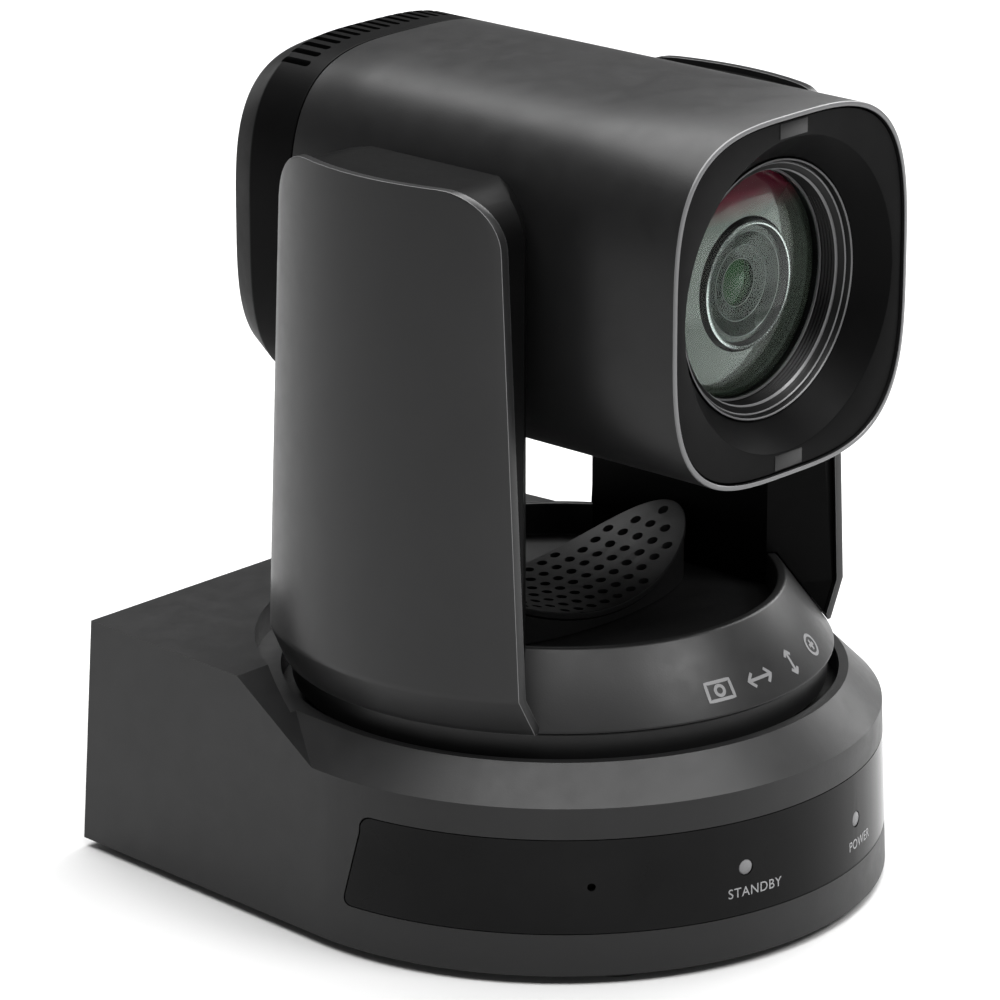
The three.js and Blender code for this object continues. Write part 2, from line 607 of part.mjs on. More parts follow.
const tiltMotor = alongX(turned([
  [0, tiltMotorX + TILT_MOTOR.depth], [0, tiltMotorX + 7], [TILT_MOTOR.boreR, tiltMotorX + 7],
  [TILT_MOTOR.boreR, tiltMotorX - 0.4], [TILT_MOTOR.bossR, tiltMotorX - 0.4],
  [TILT_MOTOR.bossR, tiltMotorX], [TILT_MOTOR.r, tiltMotorX], [TILT_MOTOR.r, tiltMotorX + TILT_MOTOR.depth],
], 16)).translate([0, 0, tiltPinionZ]);
addPiece('tilt_motor', tiltMotor, STEEL);
addPiece('arm_board', box(-56, -54.4, -16, 16, 84, 120), BOARD_GREEN);

// ---------------------------------------------------------------- head
// Everything here is measured from the tilt axis.
function headRing(inset, y, count = 40) {
  const points = [];
  for (let i = 0; i < count; i += 1) {
    const angle = (2 * Math.PI * i) / count;
    const along = (value, half) => Math.sign(value) * Math.abs(value) ** (2 / HEAD_POWER) * (half - inset);
    points.push([along(Math.cos(angle), HEAD_HALF_X), y, -along(Math.sin(angle), HEAD_HALF_Z)]);
  }
  return points;
}
const headBody = (sections) => lofted(sections.map(([inset, y]) => headRing(inset, y)));

const axleHoles = alongX(disc(AXLE_R + GAP, -60, 60, 24));
const headShell = headBody([[0, HEAD_FRONT_Y], [0, HEAD_SEAM_Y - GAP / 2]])
  .subtract(headBody([[HEAD_WALL, HEAD_FRONT_Y + 9], [HEAD_WALL, HEAD_SEAM_Y + 1]]))
  .subtract(headBody([[1, HEAD_FRONT_Y - 1], [1, HEAD_FRONT_Y + 9.5]]))
  .subtract(axleHoles);
addPiece('head_shell', headShell, CHARCOAL, head);

let rearCap = headBody([[0, HEAD_SEAM_Y + GAP / 2], [0, HEAD_CHAMFER_Y], [HEAD_CHAMFER, HEAD_REAR_Y]])
  .subtract(headBody([
    [HEAD_WALL, HEAD_SEAM_Y - 1],
    [HEAD_WALL, HEAD_CHAMFER_Y - 1],
    [HEAD_CHAMFER + HEAD_WALL, HEAD_REAR_Y - HEAD_WALL],
  ]));
for (let i = 0; i < VENT_COUNT; i += 1) {
  const x = (i - (VENT_COUNT - 1) / 2) * VENT_PITCH;
  rearCap = rearCap.subtract(box(x - VENT_WIDTH / 2, x + VENT_WIDTH / 2,
    HEAD_SEAM_Y + 4.5, HEAD_CHAMFER_Y + 0.8, 20, HEAD_HALF_Z + 5));
}
addPiece('rear_cap', rearCap, CHARCOAL, head);

// Front bezel with its conical recess, and the two small inlays above and below it.
const BEZEL_FACE_Y = HEAD_FRONT_Y + 0.7;
const BEZEL_REAR_Y = HEAD_FRONT_Y + 8.6;
const alongHead = (outline, segments) => alongY(turned(outline, segments));
const INLAY = { halfX: 4.4, z0: 34.2, z1: 37.2, thickness: 0.6 };
const inlay = (sign, grow) => {
  const edges = [sign * (INLAY.z0 - grow), sign * (INLAY.z1 + grow)].sort((a, b) => a - b);
  return box(-INLAY.halfX - grow, INLAY.halfX + grow, BEZEL_FACE_Y - 0.2 - grow,
    BEZEL_FACE_Y + INLAY.thickness + grow, edges[0], edges[1]);
};
const bezel = headBody([[1 + GAP, BEZEL_FACE_Y], [1 + GAP, BEZEL_REAR_Y]])
  .subtract(alongHead([
    [0, HEAD_FRONT_Y - 2], [BEZEL_OPENING_R + 1.5, HEAD_FRONT_Y - 2], [BEZEL_OPENING_R, BEZEL_FACE_Y],
    [LENS_RING_R + GAP, BEZEL_FACE_Y + 6.2], [LENS_RING_R + GAP, BEZEL_REAR_Y + 2], [0, BEZEL_REAR_Y + 2],
  ], 60))
  .subtract(inlay(1, GAP))
  .subtract(inlay(-1, GAP));
addPiece('front_bezel', bezel, BLACK_PLASTIC, head);
addPiece('bezel_inlay_top', inlay(1, 0), CHARCOAL, head);
addPiece('bezel_inlay_bottom', inlay(-1, 0), CHARCOAL, head);

// Lens: barrel, trim ring, front element, baffle, second element and iris.
const LENS_FRONT_Y = -57.4;
addPiece('lens_ring', alongHead([
  [LENS_R + 0.6, LENS_FRONT_Y], [LENS_RING_R, LENS_FRONT_Y],
  [LENS_RING_R, LENS_FRONT_Y + 1.6], [LENS_R + 0.6, LENS_FRONT_Y + 1.6],
], 36), STEEL, head);
addPiece('lens_barrel', alongHead([
  [LENS_R + GAP, LENS_FRONT_Y + 1.9], [LENS_RING_R, LENS_FRONT_Y + 1.9], [LENS_RING_R, -22],
  [14, -22], [14, -34], [LENS_R + GAP, -34],
], 36), BLACK_PLASTIC, head);
addPiece('front_element', alongHead([
  [0, -54.4], [8, -54.1], [16, -53.1], [21, -51.9], [LENS_R, -50.6], [LENS_R, -48.4],
  [20, -48.4], [14, -47.3], [7, -46.6], [0, -46.4],
], 28), GLASS, head);
addPiece('lens_baffle', alongHead([
  [14.6, -43], [LENS_R, -45.4], [LENS_R, -42], [14.6, -40.6],
], 24), BLACK_PLASTIC, head);
addPiece('second_element', alongHead([
  [0, -44.6], [7, -44.1], [14.2, -41.8], [14.2, -39.4], [7, -38.7], [0, -38.4],
], 24), GLASS, head);
addPiece('iris', alongHead([
  [3.4, -37], [13.4, -37], [13.4, -35.6], [3.4, -35.6],
], 24), BLACK_PLASTIC, head);

// Camera block behind the lens, and its sensor board.
addPiece('zoom_block', box(-22, 22, -21.6, 28, -22, 22), BLACK_PLASTIC, head);
addPiece('sensor_board', box(-24, 24, 28.4, 30, -24, 24), BOARD_GREEN, head);

// Axles: a flange inside each side of the shell, a shaft out into the arm.
const AXLE_END_X = tiltGearX + GEAR_THICKNESS + 0.3;
const axle = alongX(turned([
  [0, 32.4], [10, 32.4], [10, 34.6], [AXLE_R, 34.6], [AXLE_R, AXLE_END_X], [0, AXLE_END_X],
], 20));
addPiece('tilt_axle_left', mirrored(axle), STEEL, head);
addPiece('tilt_axle_right', axle, STEEL, head);
addPiece('tilt_gear', alongX(gear({
  module: TILT_GEAR.module,
  teeth: TILT_GEAR.teeth,
  boreR: AXLE_R + GAP,
  z0: tiltGearX,
  z1: tiltGearX + GEAR_THICKNESS,
})), GEAR_WHITE, head);
const encoderWheel = alongX(ring(AXLE_R + GAP, 10, tiltGearX, tiltGearX + 1.2, 20));
addPiece('tilt_encoder', mirrored(encoderWheel), STEEL, head);

export default part;
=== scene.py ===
"""Looks for a pan-tilt-zoom conference camera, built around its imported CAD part.

Shapes are drawn in millimetres. Base and yoke shapes are measured from the pan axis at the
housing's lower edge, head shapes from the tilt axis. Lens towards -Y, connectors towards +Y.
"""
import json
import math

import bmesh
import bpy
from mathutils import Matrix, Vector

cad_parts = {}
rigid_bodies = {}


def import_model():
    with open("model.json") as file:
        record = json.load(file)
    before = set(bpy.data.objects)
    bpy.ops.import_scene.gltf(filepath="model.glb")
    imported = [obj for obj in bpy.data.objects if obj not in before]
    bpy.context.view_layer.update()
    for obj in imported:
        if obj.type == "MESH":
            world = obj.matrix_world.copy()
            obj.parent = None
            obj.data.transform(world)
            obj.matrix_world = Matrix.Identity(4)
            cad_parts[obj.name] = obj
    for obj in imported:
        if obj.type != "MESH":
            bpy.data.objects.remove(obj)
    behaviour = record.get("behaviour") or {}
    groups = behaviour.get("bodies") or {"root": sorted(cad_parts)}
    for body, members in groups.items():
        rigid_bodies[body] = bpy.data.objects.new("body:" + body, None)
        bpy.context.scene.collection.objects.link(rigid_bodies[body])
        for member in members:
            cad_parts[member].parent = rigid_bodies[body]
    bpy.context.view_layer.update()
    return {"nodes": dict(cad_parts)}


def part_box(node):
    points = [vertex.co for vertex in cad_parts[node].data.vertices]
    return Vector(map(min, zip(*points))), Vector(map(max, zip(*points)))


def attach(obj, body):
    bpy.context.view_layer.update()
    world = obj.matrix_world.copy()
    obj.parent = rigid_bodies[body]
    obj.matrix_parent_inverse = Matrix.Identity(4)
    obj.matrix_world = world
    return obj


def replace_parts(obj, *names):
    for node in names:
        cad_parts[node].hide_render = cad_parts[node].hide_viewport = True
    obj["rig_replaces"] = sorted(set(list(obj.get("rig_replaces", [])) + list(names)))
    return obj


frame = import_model()

MM = 0.001


def middle(node):
    low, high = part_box(node)
    return (low + high) / 2


PAN = Vector((0, middle("turntable").y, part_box("base_housing")[0].z))
TILT = Vector((0, middle("tilt_axle_right").y, middle("tilt_axle_right").z))

# ------------------------ sizes, in millimetres
GAP = 0.3  # clearance between pieces that touch
BASE_R = 72  # front half of the base, at its foot
BASE_DRAFT = 0.039  # the base walls lean in by this per mm of height
SIDE_TAPER = 0.071  # radians that the side walls close in by
REAR_Y = 82.3
BEVEL_LOW_Z = 37
BEVEL_HIGH_Z = 44.4
BEVEL_HIGH_R = 63.1
BLOCK_TOP_Z = 51.1
SLOPE_TOP_Y = 31.9
SLOPE_LOW_Y = 7.7
RECESS_R = 66.6
WELL_R = 61
WELL_FLOOR_Z = 38.5
WALL = 2.4
HUB_HOLE_R = 11
SHAFT_HOLE_R = 4.5
PAN_MOTOR_Y = -36
OPENING_HALF_X = 58  # the opening in the base's rear wall
OPENING_Z = (7, 42)
WINDOW_LOW_Z = 9.4
WINDOW_HIGH_Z = 30
WINDOW_END_LOW = 87  # degrees from the front, at the window's lower edge
WINDOW_END_HIGH = 83
WINDOW_DEPTH = 1.6
WINDOW_CORNER = 2.2
LED_ANGLE = 15
SENSOR_ANGLE = 43
SIGNAL_Z = 19.7  # height of the two lamps and the sensor
LED_R = 1.5
SENSOR_R = 0.9
LABEL_HEIGHT = 2.2

FOOT_PLACES = ((-38, -50), (38, -50), (-50, 54), (50, 54))
SCREW_PLACES = ((-44, -40), (44, -40), (-54, 66), (54, 66))
TRIPOD_Y = 22
THREAD_R = 3.6
THREAD_DEPTH = 0.4
THREAD_PITCH = 0.84

PANEL_Y = REAR_Y - 3.6
MOUTH_Y = PANEL_Y + 1  # the mouths of the sockets
LAN_X = 33
HDMI_X = -18
USB_X = 5
CONTROL_X = (("in", -20), ("out", 0))
CONTROL_Z = 28.4
AUDIO_X, AUDIO_Z = 18, 29
BNC_X, BNC_Z = 40, 29.6
BNC_Y = PANEL_Y - 4.6

BAND_LOW_Z = 49.6  # the conical band round the turntable
BAND_LOW_R = 60
BAND_HIGH_Z = 64.5
BAND_HIGH_R = 49.1
SKIRT_R = 58.5
SKIRT_LOW_Z = 42.6
DECK_Z = 57
PEDESTAL_HALF_X = 37.5
PEDESTAL_HALF_Y = 16.5
SADDLE_LOW_Z = 60.8
SADDLE_RISE = 0.0079
GRILLE_THICKNESS = 1.6
GRILLE_PITCH = 4.3
GRILLE_HOLE_R = 1.2
GRILLE_MARGIN = 2.6  # no hole's middle is nearer than this to the plate's edge

ARM_INNER_X = 39.6
ARM_TOP_Z = 166
ARM_FACE_HALF = 25.5
ARM_FACE_X = 53
ARM_INSET = 1.2
COVER_LOW_R = 61
COVER_WIDE_R = 64.5
COVER_HIGH_R = 62
COVER_WIDE_Z = 58
COVER_THICKNESS = 1.8
COVER_HALF_LOW = 36.5
COVER_HALF_HIGH = 31.5
COVER_CORNER = 13
SHOULDER_Z = ARM_TOP_Z - COVER_CORNER  # the round top corners start here
BEARING_HOLE_R = 9.3
TILT_Z = 139.7

HEAD_HALF_X = 37.8
HEAD_HALF_Z = 38.9
HEAD_POWER = 3.4  # roundness of the head's square section
HEAD_FRONT_Y = -64
HEAD_SEAM_Y = 44
HEAD_CHAMFER_Y = 56
HEAD_REAR_Y = 64
HEAD_CHAMFER = 3.4
HEAD_WALL = 2.2
VENT_COUNT = 18
VENT_PITCH = 3.1
VENT_R = 0.8
BEZEL_FACE_Y = HEAD_FRONT_Y + 0.7
BEZEL_REAR_Y = HEAD_FRONT_Y + 8.6
BEZEL_OPENING_R = 33.6
LENS_RING_R = 27.6


# ------------------------ camera and studio
def make_camera():
    """A long lens, 48 degrees round to the left of the front and 18 degrees up."""
    azimuth, elevation = math.radians(-47.823), math.radians(18.462)
    distance, aside, above = 1.23415, -0.01306, 0.076852
    back = Vector((math.sin(azimuth) * math.cos(elevation),
                   -math.cos(azimuth) * math.cos(elevation), math.sin(elevation)))
    right = Vector((math.cos(azimuth), math.sin(azimuth), 0))
    up = back.cross(right)
    data = bpy.data.cameras.new("camera")
    data.sensor_width = 36
    data.lens = 200.76
    data.clip_start = 0.02
    data.clip_end = 30
    camera = bpy.data.objects.new("camera", data)
    camera.location = PAN + back * distance + right * aside + up * above
    camera.rotation_euler = (math.pi / 2 - elevation, 0, azimuth)
    bpy.context.scene.collection.objects.link(camera)
    bpy.context.scene.camera = camera


make_camera()


# ------------------------ meshes
def new_object(name, vertices, faces, origin=PAN):
    mesh = bpy.data.meshes.new(name)
    mesh.from_pydata([origin + Vector(v) * MM for v in vertices], [], faces)
    mesh.validate()
    item = bpy.data.objects.new(name, mesh)
    bpy.context.scene.collection.objects.link(item)
    return item


def tidy(item, outwards=False):
    """Weld points that lie on each other and, if asked, turn the faces out of the solid."""
    work = bmesh.new()
    work.from_mesh(item.data)
    bmesh.ops.remove_doubles(work, verts=work.verts, dist=1e-6)
    bmesh.ops.dissolve_degenerate(work, edges=work.edges, dist=1e-6)
    if outwards:
        bmesh.ops.recalc_face_normals(work, faces=work.faces)
    work.to_mesh(item.data)
    work.free()
    return item


def outward(item):
    return tidy(item, True)


def settle(item):
    """Put the result of the object's modifiers into its mesh."""
    graph = bpy.context.evaluated_depsgraph_get()
    mesh = bpy.data.meshes.new_from_object(item.evaluated_get(graph))
    old = item.data
    item.modifiers.clear()
    item.data = mesh
    if old.users == 0:
        bpy.data.meshes.remove(old)
    return item


def combine(item, tool, operation):
    modifier = item.modifiers.new("combine", "BOOLEAN")
    modifier.operation = operation
    modifier.solver = "EXACT"
    modifier.object = tool
    tidy(settle(item))
    mesh = tool.data
    bpy.data.objects.remove(tool)
    bpy.data.meshes.remove(mesh)
    return item


def cut(item, *tools):
    for tool in tools:
        combine(item, tool, "DIFFERENCE")
    return item


def keep(item, tool):
    return combine(item, tool, "INTERSECT")


def loft(name, rings, origin=PAN, closed=False):
    """A skin through rings of equal length. closed joins the last ring back to the first."""
    count = len(rings[0])
    spans = len(rings) if closed else len(rings) - 1
    faces = []
    for k in range(spans):
        a, b = k * count, ((k + 1) % len(rings)) * count
        for i in range(count):
            j = (i + 1) % count
            faces.append((a + i, a + j, b + j, b + i))
    if not closed:
        faces.append(tuple(reversed(range(count))))
        faces.append(tuple((len(rings) - 1) * count + i for i in range(count)))
    return new_object(name, [p for ring in rings for p in ring], faces, origin)


def rounded(outline, radius, steps=3):
    """A closed outline of (r, h) points with its corners rounded. Points on the axis stay."""
    result = []
    for i, corner in enumerate(outline):
        here = Vector(corner)
        if here.x == 0:
            result.append(tuple(here))
            continue
        a = Vector(outline[i - 1]) - here
        b = Vector(outline[(i + 1) % len(outline)]) - here
        reach = min(radius, a.length * 0.45, b.length * 0.45)
        a, b = here + a.normalized() * reach, here + b.normalized() * reach
        for k in range(steps + 1):
            t = k / steps
            result.append(tuple(a * (1 - t) ** 2 + here * 2 * t * (1 - t) + b * t * t))
    return result


def lathe(name, outline, segments=96, along="z", origin=PAN, centre=(0, 0, 0)):
    """A closed outline of (r, h) points turned about Z, or about Y or X."""
    vertices, faces, rows = [], [], []
    for r, h in outline:
        row = []
        for i in range(1 if r == 0 else segments):
            angle = 2 * math.pi * i / segments
            u, v = r * math.cos(angle), r * math.sin(angle)
            point = {"z": (u, v, h), "y": (v, h, u), "x": (h, u, v)}[along]
            row.append(len(vertices))
            vertices.append(tuple(p + c for p, c in zip(point, centre)))
        rows.append(row)
    for k, row in enumerate(rows):
        after = rows[(k + 1) % len(rows)]
        if len(row) == 1 and len(after) == 1:
            continue
        for i in range(segments):
            j = (i + 1) % segments
            near = (row[i % len(row)], row[j % len(row)])
            far = (after[j % len(after)], after[i % len(after)])
            faces.append(tuple(dict.fromkeys(near + far)))
    return outward(new_object(name, vertices, faces, origin))


def rod(r, h0, h1, along, centre, origin=PAN, segments=32):
    return lathe("rod", [(0, h0), (r, h0), (r, h1), (0, h1)], segments, along, origin, centre)


def block(name, x, y, z, origin=PAN):
    corners = [(a, b, c) for c in z for b in y for a in x]
    faces = [(0, 2, 3, 1), (4, 5, 7, 6), (0, 1, 5, 4), (2, 6, 7, 3), (0, 4, 6, 2), (1, 3, 7, 5)]
    return new_object(name, corners, faces, origin)


def prism(name, outline, x0, x1, origin=PAN):
    """An outline of (y, z) points, extruded along X."""
    return outward(loft(name, [[(x, y, z) for y, z in outline] for x in (x0, x1)], origin))


def joined(name, parts):
    """Several separate meshes as one object."""
    vertices, faces = [], []
    for part in parts:
        start = len(vertices)
        vertices += [tuple(v.co) for v in part.data.vertices]
        faces += [tuple(start + i for i in p.vertices) for p in part.data.polygons]
        mesh = part.data
        bpy.data.objects.remove(part)
        bpy.data.meshes.remove(mesh)
    mesh = bpy.data.meshes.new(name)
    mesh.from_pydata(vertices, [], faces)
    item = bpy.data.objects.new(name, mesh)
    bpy.context.scene.collection.objects.link(item)
    return item


def soften(item, width, segments=2, angle=28, looks=()):
    """Round the edges. Two looks, if given, are those of the faces and of the rounded edges, whose second
    look is a painted highlight.
    """
    for look in looks:
        item.data.materials.append(look)
    bevel = item.modifiers.new("edges", "BEVEL")
    bevel.width = width * MM
    bevel.segments = segments
    bevel.limit_method = "ANGLE"
    bevel.angle_limit = math.radians(angle)
    bevel.use_clamp_overlap = True
    bevel.miter_outer = "MITER_ARC"
    if looks:
        bevel.material = 1
    return settle(item)


def shade(item, angle=30):
    mesh = item.data
    mesh.polygons.foreach_set("use_smooth", [True] * len(mesh.polygons))
    mesh.set_sharp_from_angle(angle=math.radians(angle))
    mesh.update()
    return item


def place(item, body, slot, replaces=(), look=None, angle=30, extra=(), even=False):
    """Shade the piece, give it its material, and let it ride on its body.

    even keeps the shading of large flat faces free of streaks from the small faces beside them.
    """
    names = [look or LOOKS[slot], *extra]
    while len(item.data.materials) < len(names):
        item.data.materials.append(None)
    for i, material in enumerate(names):
        item.data.materials[i] = material
    shade(item, angle)
    if even:
        normals = item.modifiers.new("normals", "WEIGHTED_NORMAL")
        normals.keep_sharp = True
        settle(item)
    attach(item, body)
    if replaces:
        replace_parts(item, *replaces)
    return item


# ------------------------ materials
class Maker:
    """Builds one material out of nodes."""

    # the Mix node's sockets for colours
    MIX_FACTOR, MIX_FIRST, MIX_SECOND, MIX_RESULT = 0, 6, 7, 2

    def __init__(self, name, **sockets):
        self.material = bpy.data.materials.new(name)
        self.material.use_nodes = True
        self.nodes = self.material.node_tree.nodes
        self.links = self.material.node_tree.links
        self.shader = self.nodes["Principled BSDF"]
        for socket, value in sockets.items():
            self.shader.inputs[socket.replace("_", " ")].default_value = value
        self.place = self.nodes.new("ShaderNodeTexCoord").outputs["Object"]

    def noise(self, scale, detail=3, rough=0.55, stretch=None):
        node = self.nodes.new("ShaderNodeTexNoise")
        node.inputs["Scale"].default_value = scale
        node.inputs["Detail"].default_value = detail
        node.inputs["Roughness"].default_value = rough
        source = self.place
        if stretch:
            mapping = self.nodes.new("ShaderNodeMapping")
            mapping.inputs["Scale"].default_value = stretch
            self.links.new(source, mapping.inputs["Vector"])
            source = mapping.outputs["Vector"]
        self.links.new(source, node.inputs["Vector"])
        return node.outputs["Fac"]

    def span(self, value, low, high, start=0.3, end=0.7):
        node = self.nodes.new("ShaderNodeMapRange")
        for socket, number in (("From Min", start), ("From Max", end), ("To Min", low), ("To Max", high)):
            node.inputs[socket].default_value = number
        self.links.new(value, node.inputs["Value"])
        return node.outputs["Result"]

    def blend(self, factor, first, second):
        node = self.nodes.new("ShaderNodeMix")
        node.data_type = "RGBA"
        node.inputs[self.MIX_FIRST].default_value = (*first, 1)
        node.inputs[self.MIX_SECOND].default_value = (*second, 1)
        self.links.new(factor, node.inputs[self.MIX_FACTOR])
        return node.outputs[self.MIX_RESULT]

    def colour(self, output):
        self.links.new(output, self.shader.inputs["Base Color"])

    def roughness(self, output):
        self.links.new(output, self.shader.inputs["Roughness"])

    def bump(self, height, depth, strength=1.0):
        node = self.nodes.new("ShaderNodeBump")
        node.inputs["Strength"].default_value = strength
        node.inputs["Distance"].default_value = depth
        self.links.new(height, node.inputs["Height"])
        self.links.new(node.outputs["Normal"], self.shader.inputs["Normal"])


def moulded(name, dark, light, gloss, grain=2600, depth=0.00002, **sockets):
    """Moulded or painted plastic: fine grain, with faint clouding in colour and gloss."""
    make = Maker(name, **sockets)
    clouds = make.noise(28, 4)
    make.colour(make.blend(make.span(clouds, 0, 1), dark, light))
    make.roughness(make.span(make.noise(190, 5, 0.65), *gloss))
    make.bump(make.noise(grain, 2, 0.5), depth, 0.6)
    return make.material


def brushed(name, dark, light, gloss, stretch=(4000, 160, 4000), **sockets):
    """Turned or brushed metal: fine streaks in one direction."""
    make = Maker(name, Metallic=1.0, **sockets)
    streaks = make.noise(1, 3, 0.6, stretch)
    make.colour(make.blend(make.span(streaks, 0, 1), dark, light))
    make.roughness(make.span(streaks, *gloss))
    make.bump(streaks, 0.000004, 0.5)
    return make.material


def grey(level):
    return (level, level, level * 1.02)


def glossy_window():
    make = Maker("dark_window", Specular_IOR_Level=0.1)
    make.colour(make.blend(make.span(make.noise(60, 3), 0, 1), grey(0.0025), grey(0.0045)))
    make.roughness(make.span(make.noise(400, 4), 0.07, 0.13))
    make.bump(make.noise(35, 1), 0.00001, 0.15)
    return make.material


def coated_glass(name, tint, coat_index):
    """A thin coated element: it hardly bends the light, and its coat mirrors the studio."""
    make = Maker(name, IOR=1.05, Transmission_Weight=1.0,
                 Coat_Weight=1.0, Coat_IOR=coat_index, Coat_Roughness=0.02)
    lighter = tuple(min(1, c * 1.03) for c in tint)
    make.colour(make.blend(make.span(make.noise(50, 2), 0, 1), tint, lighter))
    make.roughness(make.span(make.noise(300, 4), 0.015, 0.03))
    return make.material


def field_coating_and_painted_reflection():
    """The dark inner face of the lens, with a painted magenta reflection in its upper part."""
    make = Maker("field_coating_and_painted_reflection", Specular_IOR_Level=0.2,
                 Coat_Weight=1.0, Coat_IOR=1.5, Coat_Roughness=0.03)
    apart = make.nodes.new("ShaderNodeSeparateXYZ")
    make.links.new(make.place, apart.inputs["Vector"])
    # blend towards magenta above this height: a painted reflection
    upper = make.span(apart.outputs["Z"], 0, 1, TILT.z + 14 * MM, TILT.z + 19 * MM)
    make.colour(make.blend(upper, (0.035, 0.038, 0.033), (0.11, 0.012, 0.026)))
    make.roughness(make.span(make.noise(400, 4), 0.1, 0.16))
    return make.material


def circuit_board():
    make = Maker("circuit_board", Specular_IOR_Level=0.5)
    tracks = make.span(make.noise(600, 2), 0, 1, 0.48, 0.52)
    make.colour(make.blend(tracks, (0.006, 0.045, 0.018), (0.012, 0.085, 0.03)))
    make.roughness(make.span(make.noise(900, 2), 0.3, 0.5))
    make.bump(make.noise(600, 1), 0.00003, 0.5)
    return make.material


LOOKS = {
    "housing": moulded("charcoal_plastic", grey(0.0075), grey(0.0095), (0.36, 0.44),
                       Specular_IOR_Level=0.3),
    "satin_cover": moulded("satin_paint", grey(0.010), grey(0.013), (0.3, 0.36), 3400, 0.000012,
                           Specular_IOR_Level=0.33, Metallic=0.06),
    "black_plastic": moulded("black_plastic", grey(0.0014), grey(0.0022), (0.42, 0.5),
                             Specular_IOR_Level=0.05),
    "window_gloss": glossy_window(),
    "led_lens": moulded("led_diffuser", grey(0.16), grey(0.2), (0.5, 0.6), 1500, 0.00001),
    "foot_rubber": moulded("foot_rubber", grey(0.010), grey(0.016), (0.75, 0.9), 1400, 0.00006),
    "steel": brushed("plated_steel", grey(0.42), grey(0.56), (0.2, 0.34)),
    "brass": brushed("turned_brass", (0.42, 0.27, 0.08), (0.56, 0.38, 0.13), (0.22, 0.36)),
    "board": circuit_board(),
    "gear_nylon": moulded("gear_nylon", (0.62, 0.59, 0.50), (0.72, 0.69, 0.6), (0.4, 0.5),
                          Subsurface_Weight=0.15, Subsurface_Scale=0.002),
    "lens_glass": coated_glass("coated_glass", (0.9, 0.97, 0.93), 1.13),
}
# a lighter look for rounded edges: painted highlights
PAINTED_EDGE_HIGHLIGHT = moulded("painted_edge_highlight", grey(0.09), grey(0.12), (0.3, 0.36), 3000, 0.00001,
               Specular_IOR_Level=0.45)
# a lighter look for thin rims and lips: painted highlights
PAINTED_RIM_HIGHLIGHT = moulded("painted_rim_highlight", grey(0.11), grey(0.14), (0.28, 0.34), 3000, 0.00001,
              Specular_IOR_Level=0.5)
CAP = moulded("cap_plastic", grey(0.0022), grey(0.0034), (0.38, 0.46), Specular_IOR_Level=0.04)
PRINT = moulded("grey_print", grey(0.24), grey(0.30), (0.45, 0.55), 2600, 0.00001)
BAND_PRINT = moulded("band_print", grey(0.13), grey(0.16), (0.4, 0.5), 2600, 0.00001)
ANODISED = moulded("black_anodised", grey(0.002), grey(0.003), (0.36, 0.44), 4000, 0.000008,
                   Specular_IOR_Level=0.15)
SHINE = brushed("polished_ring", grey(0.45), grey(0.6), (0.18, 0.3))
GOLD = brushed("gold_contacts", (0.62, 0.42, 0.12), (0.74, 0.54, 0.2), (0.18, 0.28))
PUPIL = moulded("pupil_coating", (0.006, 0.022, 0.008), (0.014, 0.045, 0.016), (0.1, 0.16), 800, 0.000002,
                Specular_IOR_Level=0.15, Coat_Weight=0.1, Coat_Roughness=0.03)
GREEN_GLASS = coated_glass("green_coated_glass", (0.8, 0.95, 0.86), 1.4)
FIELD = field_coating_and_painted_reflection()
CELL = moulded("cell_coating", (0.006, 0.010, 0.008), (0.010, 0.016, 0.012), (0.2, 0.3), 3000, 0.000004,
               Specular_IOR_Level=0.2, Coat_Weight=0.25, Coat_Roughness=0.03)


# ------------------------ base
def base_plan(inset, z, steps=96):
    """A round front that runs on into side walls tapering to the flat rear."""
    r, rear = BASE_R - inset, REAR_Y - inset
    half_turn = math.pi / 2 + SIDE_TAPER
    points = []
    for i in range(steps + 1):
        angle = -half_turn + 2 * half_turn * i / steps
        points.append((r * math.sin(angle), -r * math.cos(angle), z))
    rear_x = r / math.cos(SIDE_TAPER) - rear * math.tan(SIDE_TAPER)
    return points + [(rear_x, rear, z), (-rear_x, rear, z)]


def draft(z):
    return BASE_DRAFT * z


def base_loft(*sections, steps=96):
    """A cutter is given other steps than the shell, so that their edges cross cleanly."""
    return outward(loft("base_loft", [base_plan(inset, z, steps) for inset, z in sections]))


def window_ends(grow, steps=5):
    """Heights up the window and its end angles there, with round corners."""
    low, high = WINDOW_LOW_Z - grow * 0.7, WINDOW_HIGH_Z + grow * 0.7
    drops = [WINDOW_CORNER * (1 - math.cos(math.pi / 2 * k / steps)) for k in range(steps + 1)]
    rows = []
    for z in [low + drop for drop in drops] + [high - drop for drop in reversed(drops)]:
        from_edge = WINDOW_CORNER - min(z - low, high - z, WINDOW_CORNER)
        back = WINDOW_CORNER - math.sqrt(WINDOW_CORNER ** 2 - from_edge ** 2)
        end = WINDOW_END_LOW + (WINDOW_END_HIGH - WINDOW_END_LOW) * (z - low) / (high - low) + grow
        rows.append((z, math.radians(end) - back / BASE_R))
    return rows


def window_sector(outside, depth, grow, steps=96):
    """The part of the front wall that the dark window covers."""
    reach = BASE_R + 6
    outer = base_loft((-outside, 0), (draft(BEVEL_LOW_Z) - outside, BEVEL_LOW_Z), steps=steps)
    inner = base_loft((depth, -1), (depth + draft(BEVEL_LOW_Z), BEVEL_LOW_Z + 1), steps=steps)
    rings = []
    for z, angle in window_ends(grow):
        x, y = reach * math.sin(angle), -reach * math.cos(angle)
        rings.append([(0, reach * 0.2, z), (-x, y, z), (-reach, -reach * 2, z),
                      (reach, -reach * 2, z), (x, y, z)])
    return keep(cut(outer, inner), outward(loft("wedge", rings)))


